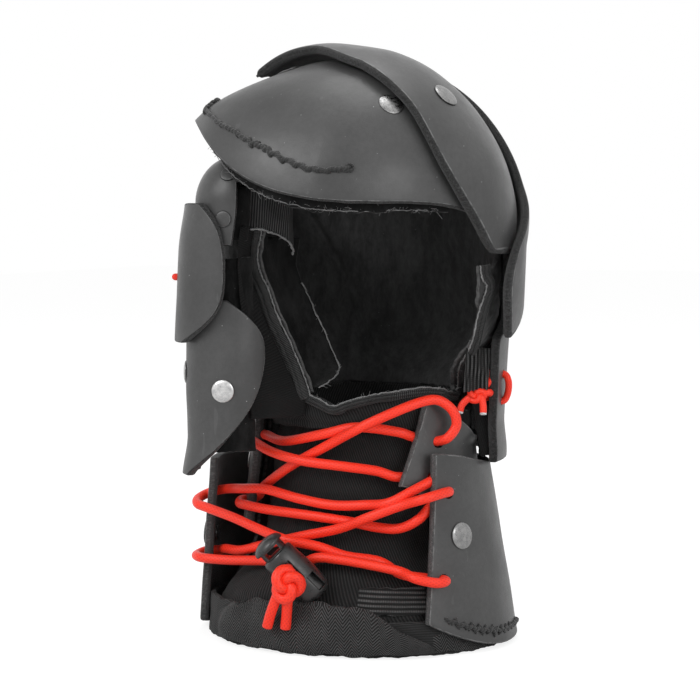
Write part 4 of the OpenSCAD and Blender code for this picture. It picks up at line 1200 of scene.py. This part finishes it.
# the loop goes out of the hand plate through its upper hole and back in through the lower one
loop = [TIE_KNOT + (1, 1, 2), (68, -6, 125.5), (71, -4, 130), tie_at(0, -8), tie_at(0, -4.5), tie_at(0, 0.5),
        tie_at(0, 2.4) + (0, 0, -2.5), (tie_at(0, 3) + tie_at(1, 3)) / 2, tie_at(1, 2.4) + (0, 0, 2.5), tie_at(1, 0.5),
        tie_at(1, -4.5), tie_at(1, -8), (70.5, -6, 122.5), TIE_KNOT + (2, 0.5, 0.5)]
tie = Shape().tube(flowing(loop, 6), TIE_D / 2, 16)
small = trefoil(2.0, 2.0, 1.2, 1.3) * (1.25, 1, 1)
tie.tube(TIE_KNOT + small @ np.array([SIDE, UPWARD, BACK]), TIE_KNOT_R, 14, closed=True)
tips = Shape()
for tail in TIE_TAILS:
    tail = flowing(tail, 6)
    tie.tube(tail, TIE_D / 2, 16, round_ends=False)
    end, way = tail[-1], unit(tail[-1] - tail[-2])
    tips.tube([end - way * 0.2, end + way * 0.7, end + way * 1.1], [1.62, 1.7, 1.2], 16, round_ends=False)
piece("side_tie_loop", tie, BRAID, "hand", ["side_tie"])
piece("side_tie_tips", tips, PALE, "hand")
stub = Shape().lathe([(0, 2.6), (0.9, 2.4), (1.5, 1.7), (1.7, 0.8), (1.7, -4.7), (1.2, -4.9), (0, -4.9)],
                     set_on(guard_face, *THUMB_TIE), 24)
piece("thumb_tie_stub", stub, BRAID, "thumb", ["thumb_tie"])


# ------------ stitching
def stitches(face, stations, thread, seed, mess):
    """Thick overlapping stitches along a seam: each rises over the last and dives into the leather."""
    rng = np.random.default_rng(seed)
    shape = Shape()
    points = [face(s, t, 0.0) for s, t in stations]
    for k, (a, b) in enumerate(zip(points, points[1:])):
        n, ahead = set_on(face, *stations[k])[:3, 2], unit(b - a)
        side = np.cross(n, ahead)
        lean = (0.5 if k % 2 else -0.5) + rng.normal(0, mess)
        top = mix(a, b, 0.5) + n * (0.8 + rng.uniform(0, 0.3))
        line = [a - n * 0.7 - side * lean, a + n * 0.25 - side * lean, top, b + ahead * 0.9 + n * 0.3 + side * lean,
                b + ahead * 1.1 - n * 0.7 + side * lean]
        shape.tube(flowing(line, 5), thread, 8)
    return shape


def zigzag(stations, high, turn):
    """A second row over the first: every station high above or below it in turn, and turned a little."""
    return [(s + high * (-1) ** k, t + turn) for k, (s, t) in enumerate(stations)]


TIP_SEAM = [(131, 137), (135, 140), (141, 137), (149.5, 128), (153, 123), (155, 118), (157.5, 114), (160, 109),
            (161, 105), (162.5, 102), (164.6, 96), (165.6, 91), (165.3, 85), (163.2, 77), (162.1, 73.5)]
tip_line = flowing(TIP_SEAM, 3)
tip_stitches = stitches(tip_face, tip_line, 1.05, 41, 0.5)
tip_stitches.join(stitches(tip_face, zigzag(tip_line[26::2], 0.45, -0.6), 0.75, 43, 0.6))
tip_stitches.tube([tip_face(161.4 + 1.3 * math.sin(w), 72.6 - 1.5 * math.cos(w), 0.9)
                   for w in np.linspace(0, 5.6, 12)], 0.55, 8)
piece("fingertip_thread", tip_stitches, THREAD, "fingertips", ["fingertip_stitching"])
cuff_line = [(cuff_bottom((t - CUFF_FROM) / (CUFF_TO - CUFF_FROM)) + 6.5, t) for t in np.linspace(-40, 12, 30)]
cuff_stitches = stitches(cuff_pt, cuff_line, 0.9, 42, 0.5)
cuff_stitches.join(stitches(cuff_pt, zigzag(cuff_line[:22], 0.8, 0.6), 0.6, 44, 0.7))
piece("cuff_thread", cuff_stitches, THREAD, "cuff", ["cuff_stitching"])

# ------------ the suede's edge under the fingertip plate
TIP_SUEDE_DEPTH = -2 * LAME_STEP - BACKING
raw_edge("fingertip_raw_edge", [tip_pt(tip_front(t) + 3.4, t, TIP_SUEDE_DEPTH - 0.2) for t in range(36, 150, 6)],
         "fingertips", 66, 0.2)
# its loose pale fibres
rng = np.random.default_rng(70)
fringe = Shape()
for _ in range(130):
    t = rng.uniform(30, 128)
    root, ahead = (tip_pt(tip_front(t + d) + 2.6 + rng.uniform(-0.8, 1.2), t + d, TIP_SUEDE_DEPTH - rng.uniform(0, 1))
                   for d in (0, 3))
    way = unit(ahead - root) * rng.normal(0, 1.3) + rng.normal(0, 0.55, 3) + (0, 0, -0.35)
    size = rng.uniform(0.3, 1.5) ** 1.5
    fibre = [root, root + way * size * 0.5 + rng.normal(0, 0.2, 3), root + way * size + rng.normal(0, 0.5, 3)]
    fringe.tube(flowing(fibre, 3), rng.uniform(0.06, 0.12), 4, round_ends=False)
piece("suede_fringe", fringe, RAW, "fingertips")

# ------------ floor and light
FLOOR_Z = -0.0004


def backdrop():
    """White paper; the camera sees a share of it as plain white, so that its shade stays faint."""
    mesh = bpy.data.meshes.new("floor")
    mesh.from_pydata([(-3, -3, FLOOR_Z), (3, -3, FLOOR_Z), (3, 6, FLOOR_Z), (-3, 6, FLOOR_Z)], [], [(0, 1, 2, 3)])
    paper = bpy.data.materials.new("floor_paper")
    paper.use_nodes = True
    tree = paper.node_tree
    tree.nodes.clear()
    seen = node(tree, "LightPath").outputs["Is Camera Ray"]
    share = node(tree, "Math", {0: seen, 1: 0.62}, operation="MULTIPLY").outputs[0]
    matt = node(tree, "BsdfDiffuse", {"Color": (0.86, 0.86, 0.86, 1)}).outputs[0]
    bright = node(tree, "Emission", {"Color": (1, 1, 1, 1), "Strength": 1.3}).outputs[0]
    both = node(tree, "MixShader", {0: share, 1: matt, 2: bright}).outputs[0]
    node(tree, "OutputMaterial", {"Surface": both})
    mesh.materials.append(paper)
    put_in_scene("floor", mesh)


def studio():
    """A white world, dimmer as a light than it looks."""
    world = bpy.data.worlds.new("studio")
    bpy.context.scene.world = world
    world.use_nodes = True
    tree = world.node_tree
    rays = node(tree, "LightPath").outputs
    seen = rays["Is Camera Ray"]
    for kind in ("Is Glossy Ray", "Is Transmission Ray"):
        seen = node(tree, "Math", {0: seen, 1: rays[kind]}, operation="MAXIMUM").outputs[0]
    level = node(tree, "MapRange", {"Value": seen, "To Min": 0.55, "To Max": 1.0})
    background = tree.nodes["Background"]
    tree.links.new(level.outputs[0], background.inputs["Strength"])
    background.inputs["Color"].default_value = (1, 1, 1, 1)


def lamp(name, at, size, watts):
    light = bpy.data.lights.new(name, "AREA")
    light.shape, light.size, light.energy = "DISK", size, watts
    put_in_scene(name, light, at, Vector((0, 0, 0.14)) - Vector(at))


backdrop()
studio()
lamp("key", (-0.7, -1.3, 1.1), 0.9, 13)
lamp("fill", (1.3, -0.9, 0.7), 0.9, 7)
lamp("top", (0.1, 0.3, 1.7), 1.0, 8)
bpy.context.scene.view_settings.view_transform = "Standard"
